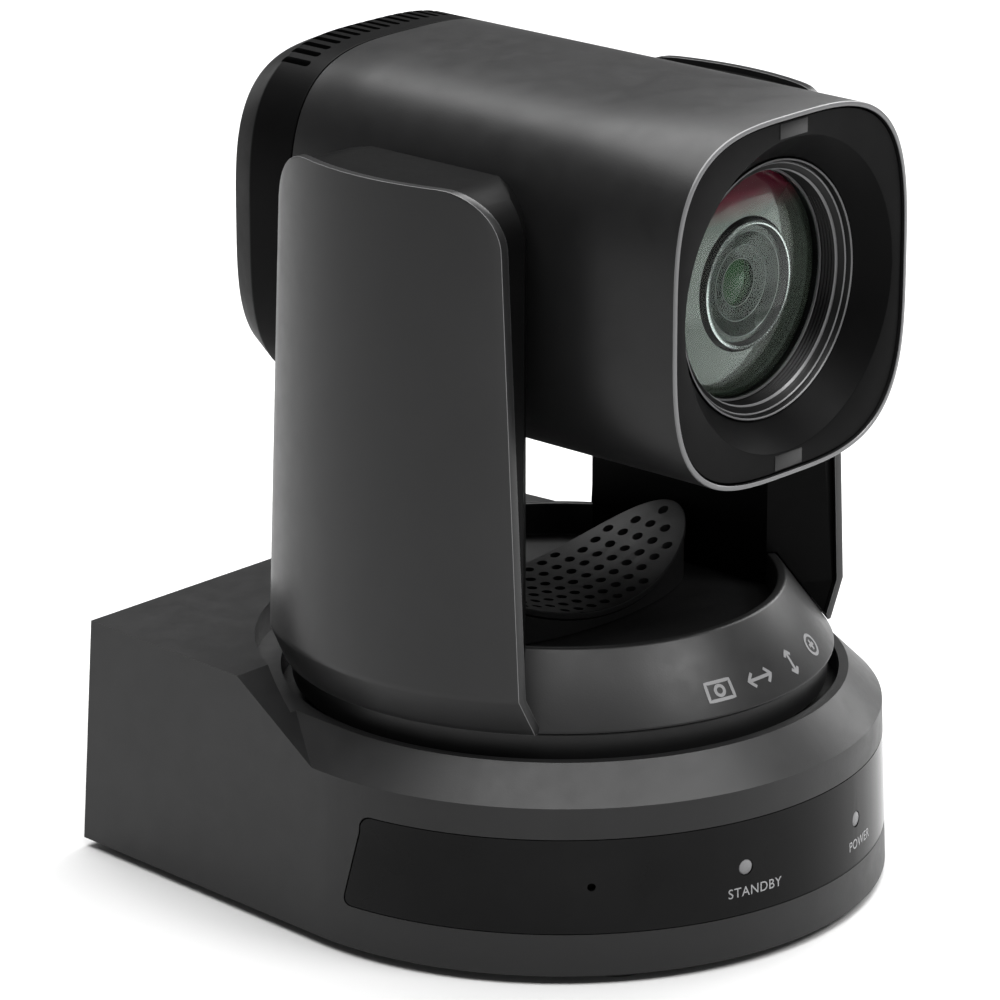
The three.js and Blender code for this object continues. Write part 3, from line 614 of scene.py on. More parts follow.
def out_of_wall(item, angle):
    """Turn a piece made along Z so that it points out of the front wall at an angle."""
    turn = Matrix.Rotation(math.radians(angle), 4, "Z") @ Matrix.Rotation(math.pi / 2, 4, "X")
    item.data.transform(Matrix.Translation(PAN + Vector((0, 0, SIGNAL_Z * MM))) @ turn)
    return item


def front_bar(angle, r):
    return out_of_wall(rod(r, BASE_R - 6, BASE_R + 1, "z", (0, 0, 0), Vector()), angle)


def front_piece(name, outline, angle):
    return out_of_wall(lathe(name, outline, 32, "z", Vector()), angle)


def base_shape():
    """The closed outside of the base: bevelled round front, sloping step up to the block."""
    shape = base_loft((0, 0), (draft(BLOCK_TOP_Z), BLOCK_TOP_Z))
    run = (SLOPE_TOP_Y - SLOPE_LOW_Y) / (BLOCK_TOP_Z - BEVEL_LOW_Z)
    above, ahead = BLOCK_TOP_Z + 2, -90
    slab = prism("slab", [(ahead, BEVEL_LOW_Z - 0.5), (SLOPE_LOW_Y - 0.5 * run, BEVEL_LOW_Z - 0.5),
                          (SLOPE_TOP_Y + 2 * run, above), (ahead, above)], -90, 90)
    lean = (BASE_R - BEVEL_HIGH_R - draft(BEVEL_LOW_Z)) / (BEVEL_HIGH_Z - BEVEL_LOW_Z)
    frustum = base_loft((draft(BEVEL_LOW_Z) - lean, BEVEL_LOW_Z - 1),
                        (BASE_R - BEVEL_HIGH_R + 0.3 * lean, BEVEL_HIGH_Z + 0.3), steps=90)
    return cut(shape, cut(slab, frustum))


def build_shell():
    shell = base_shape()
    cut(shell, lathe("well", [(0, WELL_FLOOR_Z), (WELL_R, WELL_FLOOR_Z), (WELL_R, BEVEL_HIGH_Z),
                              (RECESS_R, BEVEL_HIGH_Z), (RECESS_R, 60), (0, 60)], 160))
    cut(shell, base_loft((WALL, -1), (WALL + draft(WELL_FLOOR_Z), WELL_FLOOR_Z - WALL)))
    cut(shell, rod(HUB_HOLE_R, 30, 45, "z", (0, 0, 0)))
    cut(shell, rod(SHAFT_HOLE_R, 30, 45, "z", (0, PAN_MOTOR_Y, 0)))
    cut(shell, block("opening", (-OPENING_HALF_X, OPENING_HALF_X), (REAR_Y - 6, REAR_Y + 2), OPENING_Z))
    cut(shell, window_sector(3, WINDOW_DEPTH, GAP, 93))
    for angle in (-LED_ANGLE, LED_ANGLE, -SENSOR_ANGLE):
        cut(shell, front_bar(angle, LED_R + GAP))
    shell.name = "base_shell"
    # the rounded edges get the painted highlight look
    soften(shell, 0.35, 2, 30, (LOOKS["housing"], PAINTED_EDGE_HIGHLIGHT))
    place(shell, "base", "housing", ["base_housing"], extra=[PAINTED_EDGE_HIGHLIGHT], even=True)


def build_window():
    window = window_sector(0, WINDOW_DEPTH - GAP, 0)
    for angle, r in ((-LED_ANGLE, LED_R + GAP), (LED_ANGLE, LED_R + GAP), (-SENSOR_ANGLE, SENSOR_R)):
        cut(window, front_bar(angle, r))
    window.name = "window_panel"
    soften(window, 0.15, 2, 40)
    place(window, "base", "window_gloss", ["front_window"], even=True)
    rear, front, r = BASE_R - 8, BASE_R - 0.85, LED_R + 0.2
    lamp = [(0, rear), (r, rear), (r, front - 0.2), (LED_R, front), (0, front)]
    for name, angle in (("standby", -LED_ANGLE), ("power", LED_ANGLE)):
        place(front_piece(f"{name}_lamp", lamp, angle), "base", "led_lens", [f"{name}_led"], angle=60)
    eye = [(0, rear), (1.4, rear), (1.4, BASE_R - 3.1), (0.8, BASE_R - 2.7), (0, BASE_R - 2.6)]
    receiver = front_piece("receiver_eye", eye, -SENSOR_ANGLE)
    place(receiver, "base", "black_plastic", ["ir_receiver"], angle=60)


def wall_point(u, v, proud, angle, z):
    """A point on the front wall: u round it and v up it from the place at an angle and height."""
    turn = math.radians(angle) + u / BASE_R
    r = BASE_R - draft(z + v) + proud
    return (r * math.sin(turn), -r * math.cos(turn), z + v)


def band_point(u, v, proud, angle, up):
    """A point on the conical band: u round it and v up its slope, from a place up the slope."""
    rise, run = BAND_HIGH_Z - BAND_LOW_Z, BAND_LOW_R - BAND_HIGH_R
    slope = math.hypot(rise, run)
    along = up + v
    r = BAND_LOW_R - run * along / slope + proud * rise / slope
    turn = math.radians(angle) + u / (BAND_LOW_R - run * up / slope)
    z = BAND_LOW_Z + rise * along / slope + proud * run / slope
    return (r * math.sin(turn), -r * math.cos(turn), z)


def wrap(item, onto, *where):
    """Lay a flat drawing, in millimetres in its own x, y and z, onto a curved wall."""
    for vertex in item.data.vertices:
        vertex.co = PAN + Vector(onto(*vertex.co, *where)) * MM
    return item


def words(name, text, height):
    curve = bpy.data.curves.new(name, "FONT")
    curve.body = text
    curve.size = height / 0.72  # a capital's share of the font's size
    curve.extrude = 0.025
    curve.align_x = "CENTER"
    curve.space_character = 1.08
    curve.resolution_u = 6
    drawn = bpy.data.objects.new(name, curve)
    bpy.context.scene.collection.objects.link(drawn)
    graph = bpy.context.evaluated_depsgraph_get()
    mesh = bpy.data.meshes.new_from_object(drawn.evaluated_get(graph))
    bpy.data.objects.remove(drawn)
    item = bpy.data.objects.new(name, mesh)
    bpy.context.scene.collection.objects.link(item)
    return tidy(item)


def ribbon(points, width, closed=False, pitch=0.7, thickness=0.06):
    """A flat line of even width through points, as a thin closed solid."""
    path = []
    count = len(points)
    for i in range(count if closed else count - 1):
        a, b = Vector(points[i]), Vector(points[(i + 1) % count])
        pieces = max(1, math.ceil((b - a).length / pitch))
        path += [a + (b - a) * k / pieces for k in range(pieces)]
    if not closed:
        path.append(Vector(points[-1]))
    rings = []
    for i, here in enumerate(path):
        before = path[i - 1] if closed or i else here
        after = path[(i + 1) % len(path)] if closed or i < len(path) - 1 else here
        along = (after - before).normalized()
        side = Vector((-along.y, along.x)) * width / 2
        a, b = here + side, here - side
        rings.append([(a.x, a.y, 0), (b.x, b.y, 0), (b.x, b.y, thickness), (a.x, a.y, thickness)])
    item = loft("line", rings, Vector(), closed)
    item.data.transform(Matrix.Scale(1 / MM, 4))
    return item


def circle(x, y, r, count=28):
    angles = [2 * math.pi * k / count for k in range(count)]
    return [(x + r * math.cos(angle), y + r * math.sin(angle)) for angle in angles]


def pictograms():
    """Drawings for a camera, panning, tilting and zooming: (points, closed) lines round x = 0."""
    arrow = [([(-3.4, 0), (3.4, 0)], False), ([(-2.0, 1.6), (-3.6, 0), (-2.0, -1.6)], False),
             ([(2.0, 1.6), (3.6, 0), (2.0, -1.6)], False)]
    upright = [([(y * 0.75, x * 0.75) for x, y in line], closed) for line, closed in arrow]
    camera = [([(-3.2, -2), (3.2, -2), (3.2, 2), (-3.2, 2)], True), (circle(0, 0, 1.1), True)]
    zoom = [(circle(0, 0, 2.3), True), ([(-1.2, 0), (1.2, 0)], False), ([(0, -1.2), (0, 1.2)], False)]
    return [camera, arrow, upright, zoom]


def build_markings():
    for text, angle, z in (("STANDBY", -13, 13.4), ("POWER", 16.5, 13.2)):
        label = wrap(words(f"{text.lower()}_label", text, LABEL_HEIGHT), wall_point, angle, z)
        place(label, "base", "led_lens", look=PRINT, angle=40)
    lines = []
    for k, drawing in enumerate(pictograms()):
        for points, closed in drawing:
            lines.append(wrap(ribbon(points, 0.75, closed), band_point, -12 + 12 * k, 5.6))
    place(joined("band_pictograms", lines), "yoke", "satin_cover", look=BAND_PRINT, angle=40)


def contacts(name, starts, width, y, z):
    """A row of gold contacts, as one object."""
    parts = [block("contact", (x, x + width), y, z) for x in starts]
    place(joined(name, parts), "base", "brass", look=GOLD)


def build_network_port():
    contacts("network_contacts", [LAN_X - 4.4 + 1.2 * k for k in range(8)], 0.5,
             (MOUTH_Y - 9, MOUTH_Y - 1.5), (17.6, 18.4))
    y = (MOUTH_Y - 1, MOUTH_Y + 0.25)
    for side, x in (("left", LAN_X - 5.6), ("right", LAN_X + 5.6)):
        lamp = block(f"network_lamp_{side}", (x - 1.1, x + 1.1), y, (19.6, 21.2))
        place(soften(lamp, 0.15), "base", "led_lens")


def build_video_port():
    tongue = block("video_tongue", (HDMI_X - 5.6, HDMI_X + 5.6), (MOUTH_Y - 9, MOUTH_Y - 1), (13.6, 14.7))
    place(soften(tongue, 0.1), "base", "black_plastic")
    contacts("video_contacts", [HDMI_X - 5 + 1.1 * k for k in range(10)], 0.5,
             (MOUTH_Y - 8, MOUTH_Y - 1.3), (14.7, 14.82))


def build_usb_port():
    tongue = block("usb_tongue", (USB_X - 2.6, USB_X + 2.6), (MOUTH_Y - 9, MOUTH_Y - 0.8), (13.2, 16.2))
    place(soften(tongue, 0.3), "base", "black_plastic")
    parts = []
    for x in (USB_X - 1.9, USB_X + 0.7):
        for z in ((13.05, 13.25), (16.15, 16.35)):
            parts.append(block("contact", (x, x + 1.2), (MOUTH_Y - 8, MOUTH_Y - 1.2), z))
    place(joined("usb_contacts", parts), "base", "brass", look=GOLD)


def build_collar(name, inner, outer, start, end, x, z, segments):
    """A plated ring round the mouth of a round socket."""
    outline = [(inner, start), (outer, start), (outer, end), (inner, end)]
    collar = lathe(name, rounded(outline, 0.2, 2), segments, "y", PAN, (x, 0, z))
    place(collar, "base", "steel", angle=50)


def build_control_ports():
    """Round eight-pin sockets."""
    pins = ((-2.6, 1.4), (0, 2.0), (2.6, 1.4), (-2.9, -0.6), (-0.9, -0.4), (0.9, -0.4),
            (2.9, -0.6), (0, -2.6))
    rear, front = MOUTH_Y - 8, MOUTH_Y - 2
    outline = rounded([(0, rear), (4.5, rear), (4.5, front), (0, front)], 0.3, 2)
    for name, x in CONTROL_X:
        insert = lathe(f"control_insert_{name}", outline, 48, "y", PAN, (x, 0, CONTROL_Z))
        holes = []
        for u, v in pins:
            holes.append(rod(0.55, MOUTH_Y - 7, MOUTH_Y, "y", (x + u, 0, CONTROL_Z + v), segments=12))
        cut(insert, joined("holes", holes))
        place(insert, "base", "black_plastic")
        build_collar(f"control_collar_{name}", 4.75, 6.3, MOUTH_Y - 0.5, MOUTH_Y + 0.35, x, CONTROL_Z, 64)


def build_video_connector():
    """A bayonet sleeve with two studs and a centre pin."""
    y = BNC_Y
    sleeve = [(0, y - 9.5), (4.8, y - 9.5), (4.8, y + 1.4), (4.35, y + 1.8), (4.35, y + 2.4),
              (4.8, y + 2.8), (4.8, y + 7.2), (4.5, y + 7.5), (4.0, y + 7.5), (3.8, y + 7.2),
              (3.8, y - 2), (2.4, y - 2), (2.4, y + 5.5), (1.2, y + 5.5), (1.2, y - 2), (0, y - 2)]
    shell = lathe("video_sleeve", sleeve, 64, "y", PAN, (BNC_X, 0, BNC_Z))
    for start, end in ((0, 5.6), (-5.6, 0)):
        combine(shell, rod(0.9, start, end, "x", (BNC_X, y + 5.2, BNC_Z), segments=20), "UNION")
    place(shell, "base", "steel", ["video_connector"], angle=35)
    outline = [(0, y - 1.9), (0.8, y - 1.9), (0.8, y + 3.6), (0.5, y + 4), (0, y + 4.1)]
    pin = lathe("video_pin", outline, 24, "y", PAN, (BNC_X, 0, BNC_Z))
    place(pin, "base", "brass", look=GOLD, angle=50)


def build_rear():
    build_network_port()
    build_video_port()
    build_usb_port()
    build_control_ports()
    build_collar("audio_collar", 1.9, 3.6, MOUTH_Y - 0.5, MOUTH_Y + 0.4, AUDIO_X, AUDIO_Z, 48)
    build_video_connector()


def screw(name, x, y, node):
    """A pan-head screw seen from below, with a cross recess."""
    outline = [(0, 7), (0, -0.95), (1.2, -0.95), (2.2, -0.75), (2.7, -0.3), (2.8, 0.1),
               (1.5, 0.1), (1.5, 7)]
    item = lathe(name, outline, 48, "z", PAN, (x, y, 0))
    for half_x, half_y in ((1.3, 0.3), (0.3, 1.3)):
        cut(item, block("slot", (x - half_x, x + half_x), (y - half_y, y + half_y), (-2, -0.2)))
    place(item, "base", "steel", [node], angle=40)


def build_underside():
    foot = [(0, 0.1), (0, -1.4), (2.6, -1.4), (3.1, -2), (5.7, -2), (6.3, -1.7),
            (6.5, -1.2), (6.5, 0.1)]
    for k, (x, y) in enumerate(FOOT_PLACES, 1):
        item = lathe(f"rubber_foot_{k}", foot, 64, "z", PAN, (x, y, 0))
        place(item, "base", "foot_rubber", [f"foot_{k}"], angle=40)
    for k, (x, y) in enumerate(SCREW_PLACES, 1):
        screw(f"plate_screw_{k}", x, y, f"bottom_screw_{k}")
    low, high, outer = 0.2, 9, 7
    thread = [(outer, low), (outer, high), (THREAD_R, high)]
    thread += [(THREAD_R - THREAD_DEPTH * (k % 2), high - 0.4 - THREAD_PITCH / 2 * k) for k in range(20)]
    insert = lathe("tripod_thread", thread + [(THREAD_R, low)], 64, "z", PAN, (0, TRIPOD_Y, 0))
    place(insert, "base", "brass", ["tripod_insert"], angle=20)


build_shell()
build_window()
build_markings()
build_rear()
build_underside()


# ------------------------ yoke
def build_turntable():
    outline = [(SKIRT_R - 2.4, SKIRT_LOW_Z), (SKIRT_R, SKIRT_LOW_Z), (SKIRT_R, BAND_LOW_Z - 0.6),
               (BAND_LOW_R, BAND_LOW_Z), (BAND_HIGH_R, BAND_HIGH_Z), (BAND_HIGH_R - 1.8, BAND_HIGH_Z),
               (BAND_HIGH_R - 1.8, DECK_Z), (HUB_HOLE_R, DECK_Z), (HUB_HOLE_R, DECK_Z - 3),
               (SKIRT_R - 8, DECK_Z - 3), (SKIRT_R - 2.4, DECK_Z - 8)]
    table = lathe("turntable_ring", rounded(outline, 0.45, 3), 240)
    place(table, "yoke", "housing", ["turntable"], angle=50)


def saddle_z(x):
    """The pedestal's top: lowest in the middle, and rising towards both arms."""
    return SADDLE_LOW_Z + SADDLE_RISE * x * x


def oval_ring(inset, drop, share=1.0, floor=None, count=120):
    """A ring of the pedestal's oval plan, at a drop below the saddle or at a floor height."""
    points = []
    for i in range(count):
        angle = 2 * math.pi * i / count
        x = (PEDESTAL_HALF_X - inset) * share * math.cos(angle)
        y = (PEDESTAL_HALF_Y - inset) * share * math.sin(angle)
        points.append((x, y, saddle_z(x) - drop if floor is None else floor))
    return points


def build_pedestal():
    """An oval wall that carries the perforated plate."""
    outside, inside, drop = 0.4, 2.4, GRILLE_THICKNESS + 0.2
    sections = [oval_ring(outside, 0, floor=DECK_Z + GAP), oval_ring(outside, drop),
                oval_ring(inside, drop), oval_ring(inside, 0, floor=DECK_Z + GAP)]
    wall = outward(loft("pedestal_wall", sections, closed=True))
    place(wall, "yoke", "black_plastic", ["pedestal"], look=LOOKS["housing"], angle=40)


def build_grille():
    """A perforated plate that is bent like a saddle."""
    inner_shares = (0.04, 0.3, 0.6, 0.85)
    sections = [oval_ring(0, GRILLE_THICKNESS, share) for share in inner_shares]
    sections += [oval_ring(0.3, GRILLE_THICKNESS), oval_ring(0, GRILLE_THICKNESS - 0.3),
                 oval_ring(0, 0.35), oval_ring(0.12, 0.1), oval_ring(0.35, 0)]
    sections += [oval_ring(0, 0, share) for share in reversed(inner_shares)]
    plate = outward(loft("grille_plate", sections))
    reach_x, reach_y = PEDESTAL_HALF_X - GRILLE_MARGIN, PEDESTAL_HALF_Y - GRILLE_MARGIN
    holes = []
    for i in range(-9, 10):
        for j in range(-4, 5):
            x, y = i * GRILLE_PITCH, j * GRILLE_PITCH
            if math.hypot(x / reach_x, y / reach_y) < 1:
                holes.append(rod(GRILLE_HOLE_R, 50, 80, "z", (x, y, 0), segments=16))
    cut(plate, joined("holes", holes))
    place(plate, "yoke", "housing", ["grille"], angle=35, even=True)


def cover_radius(z):
    if z < COVER_WIDE_Z:
        t = (z - BAND_LOW_Z) / (COVER_WIDE_Z - BAND_LOW_Z)
        return COVER_LOW_R + (COVER_WIDE_R - COVER_LOW_R) * t
    t = (z - COVER_WIDE_Z) / (ARM_TOP_Z + 2 - COVER_WIDE_Z)
    return COVER_WIDE_R + (COVER_HIGH_R - COVER_WIDE_R) * t


def half_width(z, inset=0.0):
    """Half the arm's width at a height, with its round top corners."""
    if z <= SHOULDER_Z:
        t = (z - BAND_LOW_Z) / (SHOULDER_Z - BAND_LOW_Z)
        return COVER_HALF_LOW + (COVER_HALF_HIGH - COVER_HALF_LOW) * t - inset
    return COVER_HALF_HIGH - inset - corner_inset(z)


def corner_inset(z):
    """How far the round top corners draw the arm's edge in at a height."""
    rise = max(0, z - SHOULDER_Z)
    return COVER_CORNER - math.sqrt(max(0, COVER_CORNER ** 2 - rise ** 2))


def band_radius(z):
    t = (z - BAND_LOW_Z) / (BAND_HIGH_Z - BAND_LOW_Z)
    return BAND_LOW_R + (BAND_HIGH_R - BAND_LOW_R) * t


def heights(low, top):
    """Rows for the arm: sparse up to the shoulder, close round the corners."""
    rows = [low, low + 1.4, low + 4]
    rows += [COVER_WIDE_Z + rise for rise in (-0.7, 0, 0.8, 4)]
    start = COVER_WIDE_Z + 8
    rows += [start + (SHOULDER_Z - start) * i / 10 for i in range(11)]
    rows += [SHOULDER_Z + (top - SHOULDER_Z) * math.sin(math.pi / 2 * i / 12) for i in range(1, 13)]
    return rows


def cover_grids(sign, columns):
    """Rows of points for the cover's outer and inner faces. The inner one clears the band."""
    outer, inner = [], []
    for z in heights(BAND_LOW_Z, ARM_TOP_Z):
        half, outer_r = half_width(z), cover_radius(z)
        inner_r = max(outer_r - COVER_THICKNESS, band_radius(z) + 0.12)
        for grid, r in ((outer, outer_r), (inner, inner_r)):
            across = [half * (2 * i / columns - 1) for i in range(columns + 1)]
            grid.append([(sign * math.sqrt(r * r - y * y), y, z) for y in across])
    return outer, inner


def build_cover(side, sign):
    """A panel of a slim cone about the pan axis, with a painted highlight on its thin rim."""
    columns = 32
    outer, inner = cover_grids(sign, columns)
    rows, width = len(outer), columns + 1
    vertices = [p for row in outer + inner for p in row]
    shift = rows * width
    faces = []
    for k in range(rows - 1):
        for i in range(columns):
            a = k * width + i
            quad = (a, a + 1, a + 1 + width, a + width)
            faces += [quad, tuple(shift + v for v in reversed(quad))]
    border = [k * width for k in range(rows)] + [(rows - 1) * width + i for i in range(1, width)]
    border += [k * width + columns for k in reversed(range(rows - 1))] + list(reversed(range(1, columns)))
    for i, a in enumerate(border):
        b = border[(i + 1) % len(border)]
        faces.append((a, b, shift + b, shift + a))
    cover = outward(new_object(f"arm_shell_{side}", vertices, faces))
    # the rounded rim gets the painted highlight look
    soften(cover, 0.32, 3, 50, (LOOKS["satin_cover"], PAINTED_RIM_HIGHLIGHT))
    place(cover, "yoke", "satin_cover", [f"arm_cover_{side}"], angle=32, extra=[PAINTED_RIM_HIGHLIGHT])


def build_arm(side, sign):
    """The dark arm behind the cover, with slanting front and rear faces."""
    slant = (ARM_FACE_X - ARM_INNER_X) / (COVER_HALF_LOW - ARM_FACE_HALF)
    rings = []
    for z in heights(BAND_LOW_Z, ARM_TOP_Z - ARM_INSET):
        half = min(half_width(z, ARM_INSET), half_width(min(z + ARM_INSET, ARM_TOP_Z), 0.4))
        r = cover_radius(z) - COVER_THICKNESS - GAP
        near = min(ARM_FACE_HALF - corner_inset(z), half)
        curve = []
        for i in range(25):
            y = -half + 2 * half * i / 24
            curve.append((math.sqrt(r * r - y * y), y))
        reach = min(ARM_INNER_X + (half - near) * slant, curve[0][0] - GAP)
        plan = [(ARM_INNER_X, near), (ARM_INNER_X, -near), (reach, -half), *curve, (reach, half)]
        rings.append([(sign * x, y, z) for x, y in plan])
    arm = outward(loft(f"arm_frame_{side}", rings))
    groove_r = BAND_HIGH_R - 2.1
    clearance = [(0, SKIRT_LOW_Z - 10), (SKIRT_R + GAP, SKIRT_LOW_Z - 10),
                 (SKIRT_R + GAP, BAND_LOW_Z - 1), (BAND_LOW_R + GAP, BAND_LOW_Z - GAP),
                 (BAND_LOW_R + GAP, BAND_LOW_Z + GAP),
                 (BAND_HIGH_R + GAP, BAND_HIGH_Z + GAP), (groove_r, BAND_HIGH_Z + GAP),
                 (groove_r, DECK_Z + GAP), (0, DECK_Z + GAP)]
    cut(arm, lathe("clearance", clearance, 200))
    start, end = sorted((sign * 30, sign * 47))
    cut(arm, rod(BEARING_HOLE_R, start, end, "x", (0, 0, TILT_Z)))
    soften(arm, 0.45, 2, 30)
    place(arm, "yoke", "housing", [f"arm_{side}"], look=LOOKS["black_plastic"], angle=32, even=True)


build_turntable()
build_pedestal()
build_grille()
for arm_side, arm_sign in (("left", -1), ("right", 1)):
    build_cover(arm_side, arm_sign)
    build_arm(arm_side, arm_sign)


# ------------------------ head
def head_ring(inset, y, count=160):
    points = []
    for i in range(count):
        angle = 2 * math.pi * i / count
        c, s = math.cos(angle), math.sin(angle)
        x = math.copysign(abs(c) ** (2 / HEAD_POWER), c) * (HEAD_HALF_X - inset)
        z = math.copysign(abs(s) ** (2 / HEAD_POWER), s) * (HEAD_HALF_Z - inset)
        points.append((x, y, z))
    return points


def round_ring(r, y, count=160):
    """A circle whose points face those of the head's section."""
    points = []
    for x, _, z in head_ring(0, 0, count):
        length = math.hypot(x, z)
        points.append((r * x / length, y, r * z / length))
    return points


def paint_rows(item, count, rows, index=1):
    """Give the faces between some rings of a loft another material."""
    for row in rows:
        for face in range(row * count, (row + 1) * count):
            item.data.polygons[face].material_index = index


def build_head_housing():
    """The head's open-ended skin, with a painted highlight on its thin lip at the front."""
    front, seam = HEAD_FRONT_Y, HEAD_SEAM_Y - 0.15
    sections = [(1, front + 9.5), (1, front + 0.15), (0.85, front), (0.4, front), (0.12, front + 0.12),
                (0, front + 0.4), (0, -30), (0, 0), (0, 30), (0, seam - 0.3), (0.1, seam - 0.07),
                (0.3, seam), (HEAD_WALL, seam), (HEAD_WALL, front + 9.5)]
    rings = [head_ring(inset, y) for inset, y in sections]
    shell = loft("head_housing", rings, TILT, closed=True)
    shell.data.materials.append(LOOKS["housing"])
    shell.data.materials.append(PAINTED_RIM_HIGHLIGHT)
    # the front lip's rows get the painted highlight look
    paint_rows(shell, len(rings[0]), (1, 2, 3, 4))
    outward(shell)
    place(shell, "head", "housing", ["head_shell"], angle=40, extra=[PAINTED_RIM_HIGHLIGHT])


def vent_slot(x, low, high):
    """A cutter for one slot with round ends, across the top of the cap."""
    outline = []
    for centre, start in ((high, 0), (low, math.pi)):
        for k in range(7):
            angle = start + math.pi * k / 6
            outline.append((x + VENT_R * math.cos(angle), centre + VENT_R * math.sin(angle)))
    return outward(loft("slot", [[(u, v, z) for u, v in outline] for z in (20, 45)], TILT))


def build_head_cap():
    rear, seam = HEAD_REAR_Y, HEAD_SEAM_Y + 0.15
    sections = [(HEAD_CHAMFER + HEAD_WALL, rear - HEAD_WALL), (HEAD_WALL, HEAD_CHAMFER_Y - 1),
                (HEAD_WALL, seam), (0.3, seam), (0.1, seam + 0.07), (0, seam + 0.3),
                (0, HEAD_CHAMFER_Y - 0.4), (0.15, HEAD_CHAMFER_Y + 0.3), (HEAD_CHAMFER - 0.2, rear - 0.7),
                (HEAD_CHAMFER + 0.5, rear)]
    cap = outward(loft("head_cap", [head_ring(inset, y) for inset, y in sections], TILT))
    middle_x = (VENT_COUNT - 1) / 2
    slots = [vent_slot((i - middle_x) * VENT_PITCH, HEAD_SEAM_Y + 5.3, HEAD_CHAMFER_Y)
             for i in range(VENT_COUNT)]
    cut(cap, joined("slots", slots))
    place(cap, "head", "housing", ["rear_cap"], look=CAP, angle=35, even=True)


def build_bezel():
    """The front frame with its conical recess, and the small inlays above and below it."""
    opening, throat, face = BEZEL_OPENING_R, LENS_RING_R + GAP, BEZEL_FACE_Y
    sections = [head_ring(1 + GAP, BEZEL_REAR_Y), head_ring(1 + GAP, face + 0.25), head_ring(1.5, face),
                round_ring(opening + 0.25, face), round_ring(opening, face + 0.08),
                round_ring(opening - 0.2, face + 0.3), round_ring(throat + 0.2, face + 6.0),
                round_ring(throat, face + 6.3), round_ring(throat, BEZEL_REAR_Y)]
    bezel = outward(loft("lens_hood", sections, TILT, closed=True))
    place(bezel, "head", "black_plastic", ["front_bezel"], look=CAP, angle=25)
    for name, sign in (("top", 1), ("bottom", -1)):
        edges = sorted((sign * 33.9, sign * 37.2))
        inlay = block(f"hood_inlay_{name}", (-4.4, 4.4), (face - 0.14, face + 0.6), edges, TILT)
        soften(inlay, 0.12, 2)
        place(inlay, "head", "housing", [f"bezel_inlay_{name}"])


def lens_part(name, outline, look, slot, replaces=(), bright=(), line=None):
    """A turned piece of the lens, in (radius, y) points. Faces within a box of bright, given as its
    middle and half sizes, get the look of line."""
    item = lathe(name, outline, 128, "y", TILT)
    for face in item.data.polygons:
        centre = face.center - TILT
        r, y = math.hypot(centre.x, centre.z) / MM, centre.y / MM
        if any(abs(r - at_r) < half_r and abs(y - at_y) < half_y
               for at_r, half_r, at_y, half_y in bright):
            face.material_index = 1
    place(item, "head", slot, replaces, look=look, angle=35, extra=[line or SHINE])


def build_lens():
    # the lighter rim look on thin lens edges is a painted highlight
    lens_part("lens_trim", [
        (25.6, -55.9), (26.4, -56.2), (26.6, -56.45), (26.8, -56.3), (27.2, -57.3), (27.4, -57.55),
        (27.6, -57.45), (27.6, -55.6), (25.2, -55.4),
    ], ANODISED, "steel", ["lens_ring"], line=PAINTED_RIM_HIGHLIGHT,
              bright=[(27.4, 0.21, -57.45, 0.14), (26.6, 0.15, -56.35, 0.12)])
    wall = [(27.6, -55.3), (27.6, -22), (14, -22), (14, -34), (24.9, -34), (24.9, -48)]
    wall += [(24.9 + 0.3 * (k % 2), -50.6 - 0.42 * k) for k in range(11)]
    lens_part("lens_tube", wall + [(25.4, -55.2)], ANODISED, "black_plastic", ["lens_barrel"],
              bright=[(25.2, 0.3, -55.0, 0.22)], line=PAINTED_RIM_HIGHLIGHT)
    lens_part("element_rim", [
        (24.35, -51.25), (24.75, -51.2), (24.85, -50.9), (24.85, -50.4), (24.4, -50.5),
    ], PAINTED_RIM_HIGHLIGHT, "steel")
    lens_part("front_glass", [
        (0, -54.4), (4, -54.32), (8, -54.08), (12, -53.67), (16, -53.1), (20, -52.3), (23, -51.5),
        (24.3, -50.9), (24.3, -50.4), (23, -50.7), (20, -51.4), (16, -52.2), (12, -52.75), (8, -53.15),
        (4, -53.4), (0, -53.5),
    ], LOOKS["lens_glass"], "lens_glass", ["front_element"])
    lens_part("field_dome", [
        (24.3, -49.0), (22, -49.6), (18, -50.3), (14.4, -50.7), (14.4, -49.8), (24.3, -48.2),
    ], FIELD, "lens_glass")
    lens_part("cell_ring", [
        (12.5, -51.4), (12.9, -52.0), (13.2, -52.1), (13.6, -51.9), (13.8, -50.9), (13.8, -47.8),
        (12.5, -47.8),
    ], ANODISED, "steel", bright=[(13.05, 0.2, -52.05, 0.12), (13.4, 0.25, -52.0, 0.15)])
    lens_part("cell_steps", [
        (12.4, -50.7), (11.3, -50.7), (11.2, -50.82), (11.1, -50.7), (8.2, -49.7), (8.1, -49.85),
        (8.0, -49.7), (5.2, -49.0), (5.1, -49.15), (5.0, -49.0), (5.0, -47.5), (12.4, -47.5),
    ], CELL, "lens_glass", line=PAINTED_RIM_HIGHLIGHT,
              bright=[(11.2, 0.12, -50.76, 0.1), (8.1, 0.12, -49.78, 0.12), (5.1, 0.12, -49.08, 0.12)])
    lens_part("pupil_glass", [
        (0, -49.4), (1.5, -49.3), (3, -49.0), (4.9, -48.3), (4.9, -47.2), (0, -47.2),
    ], PUPIL, "lens_glass")
    lens_part("lens_cone", [(24.5, -45.6), (24.0, -45.2), (15.0, -43.2), (15.0, -40.8), (24.5, -42)],
              ANODISED, "black_plastic", ["lens_baffle"])
    lens_part("second_glass", [
        (0, -44.6), (3.5, -44.48), (7, -44.1), (11, -43.2), (14.1, -41.9), (14.1, -39.4), (7, -38.7),
        (0, -38.4),
    ], GREEN_GLASS, "lens_glass", ["second_element"])
    lens_part("iris_ring", [
        (4.2, -36.9), (6.4, -37.3), (9.4, -37.3), (13.4, -37.2), (13.4, -35.6), (4.2, -35.6),
    ], ANODISED, "black_plastic", ["iris"])


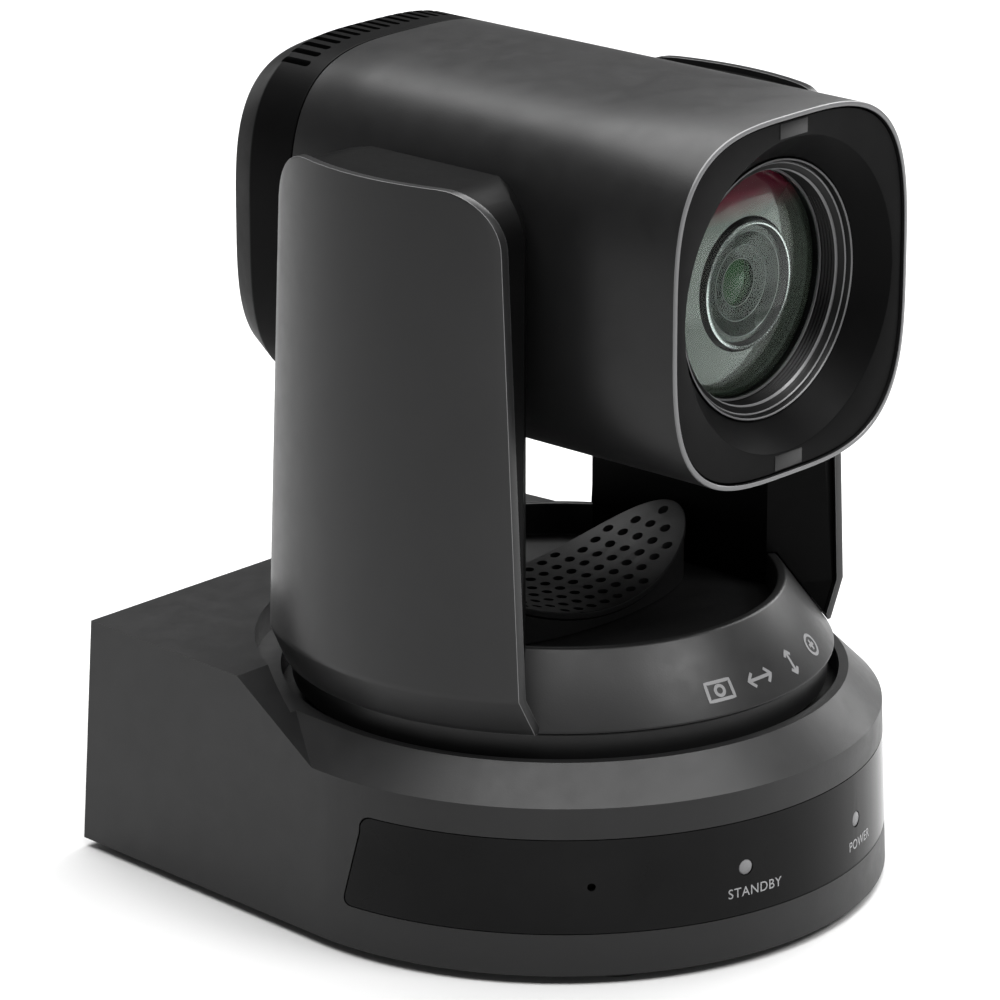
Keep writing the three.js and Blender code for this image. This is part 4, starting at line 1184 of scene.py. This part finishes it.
build_head_housing()
build_head_cap()
build_bezel()
build_lens()


# ------------------------ the rest of the CAD nodes
NODE_LOOKS = {
    "black_plastic": ["bottom_plate", "main_processor", "rs232_in", "rs232_out", "audio_in", "dc_jack",
                      "rear_panel", "zoom_block"],
    "brass": ["pan_pinion", "tilt_pinion"],
    "board": ["main_board", "arm_board", "sensor_board"],
    "gear_nylon": ["pan_gear", "tilt_gear"],
}


def dress_remaining_nodes():
    """Every CAD node that no piece replaces gets its look, and those not listed are steel."""
    replaced = {n for o in bpy.data.objects for n in o.get("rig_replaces", [])}
    looks = {node: LOOKS[slot] for slot, nodes in NODE_LOOKS.items() for node in nodes}
    for name, item in frame["nodes"].items():
        if name not in replaced:
            item.data.materials.clear()
            item.data.materials.append(looks.get(name, LOOKS["steel"]))


dress_remaining_nodes()


# ------------------------ studio
def softbox(name, spot, width, height, power, aim=(0, 0, 0.1)):
    data = bpy.data.lights.new(name, "AREA")
    data.shape = "RECTANGLE"
    data.size, data.size_y = width, height
    data.energy = power
    light = bpy.data.objects.new(name, data)
    light.location = spot
    light.rotation_euler = (Vector(aim) - Vector(spot)).to_track_quat("-Z", "Y").to_euler()
    light.visible_camera = False
    bpy.context.scene.collection.objects.link(light)


def build_studio():
    world = bpy.data.worlds.new("studio")
    world.use_nodes = True
    background = world.node_tree.nodes["Background"]
    background.inputs["Color"].default_value = (1, 1, 1, 1)
    background.inputs["Strength"].default_value = 0.12
    bpy.context.scene.world = world
    bpy.context.scene.view_settings.view_transform = "Standard"
    far = 4000
    corners = [(-far, -far, 0), (far, -far, 0), (far, far, 0), (-far, far, 0)]
    floor = new_object("floor", corners, [(0, 1, 2, 3)], Vector())
    make = Maker("pale_floor")
    make.colour(make.blend(make.span(make.noise(3, 3), 0, 1), (0.5, 0.5, 0.5), (0.54, 0.54, 0.54)))
    make.roughness(make.span(make.noise(40, 3), 0.7, 0.8))
    floor.data.materials.append(make.material)
    softbox("overhead", (0.05, 0.05, 1.5), 1.6, 2.3, 74)
    softbox("front_top", (0.45, -1.2, 1.3), 0.6, 0.5, 16)
    softbox("rear_strip", (0.35, 1.35, 0.45), 0.5, 0.8, 2.5)
    softbox("right_box", (1.2, 0.1, 0.7), 0.8, 0.8, 13)
    softbox("front_strip", (-1.3, -0.7, 0.22), 0.4, 0.4, 1.5)
    softbox("lens_card", (0.24, -0.30, 0.07), 0.24, 0.12, 0.07, aim=(0, -0.06, 0.142))


build_studio()
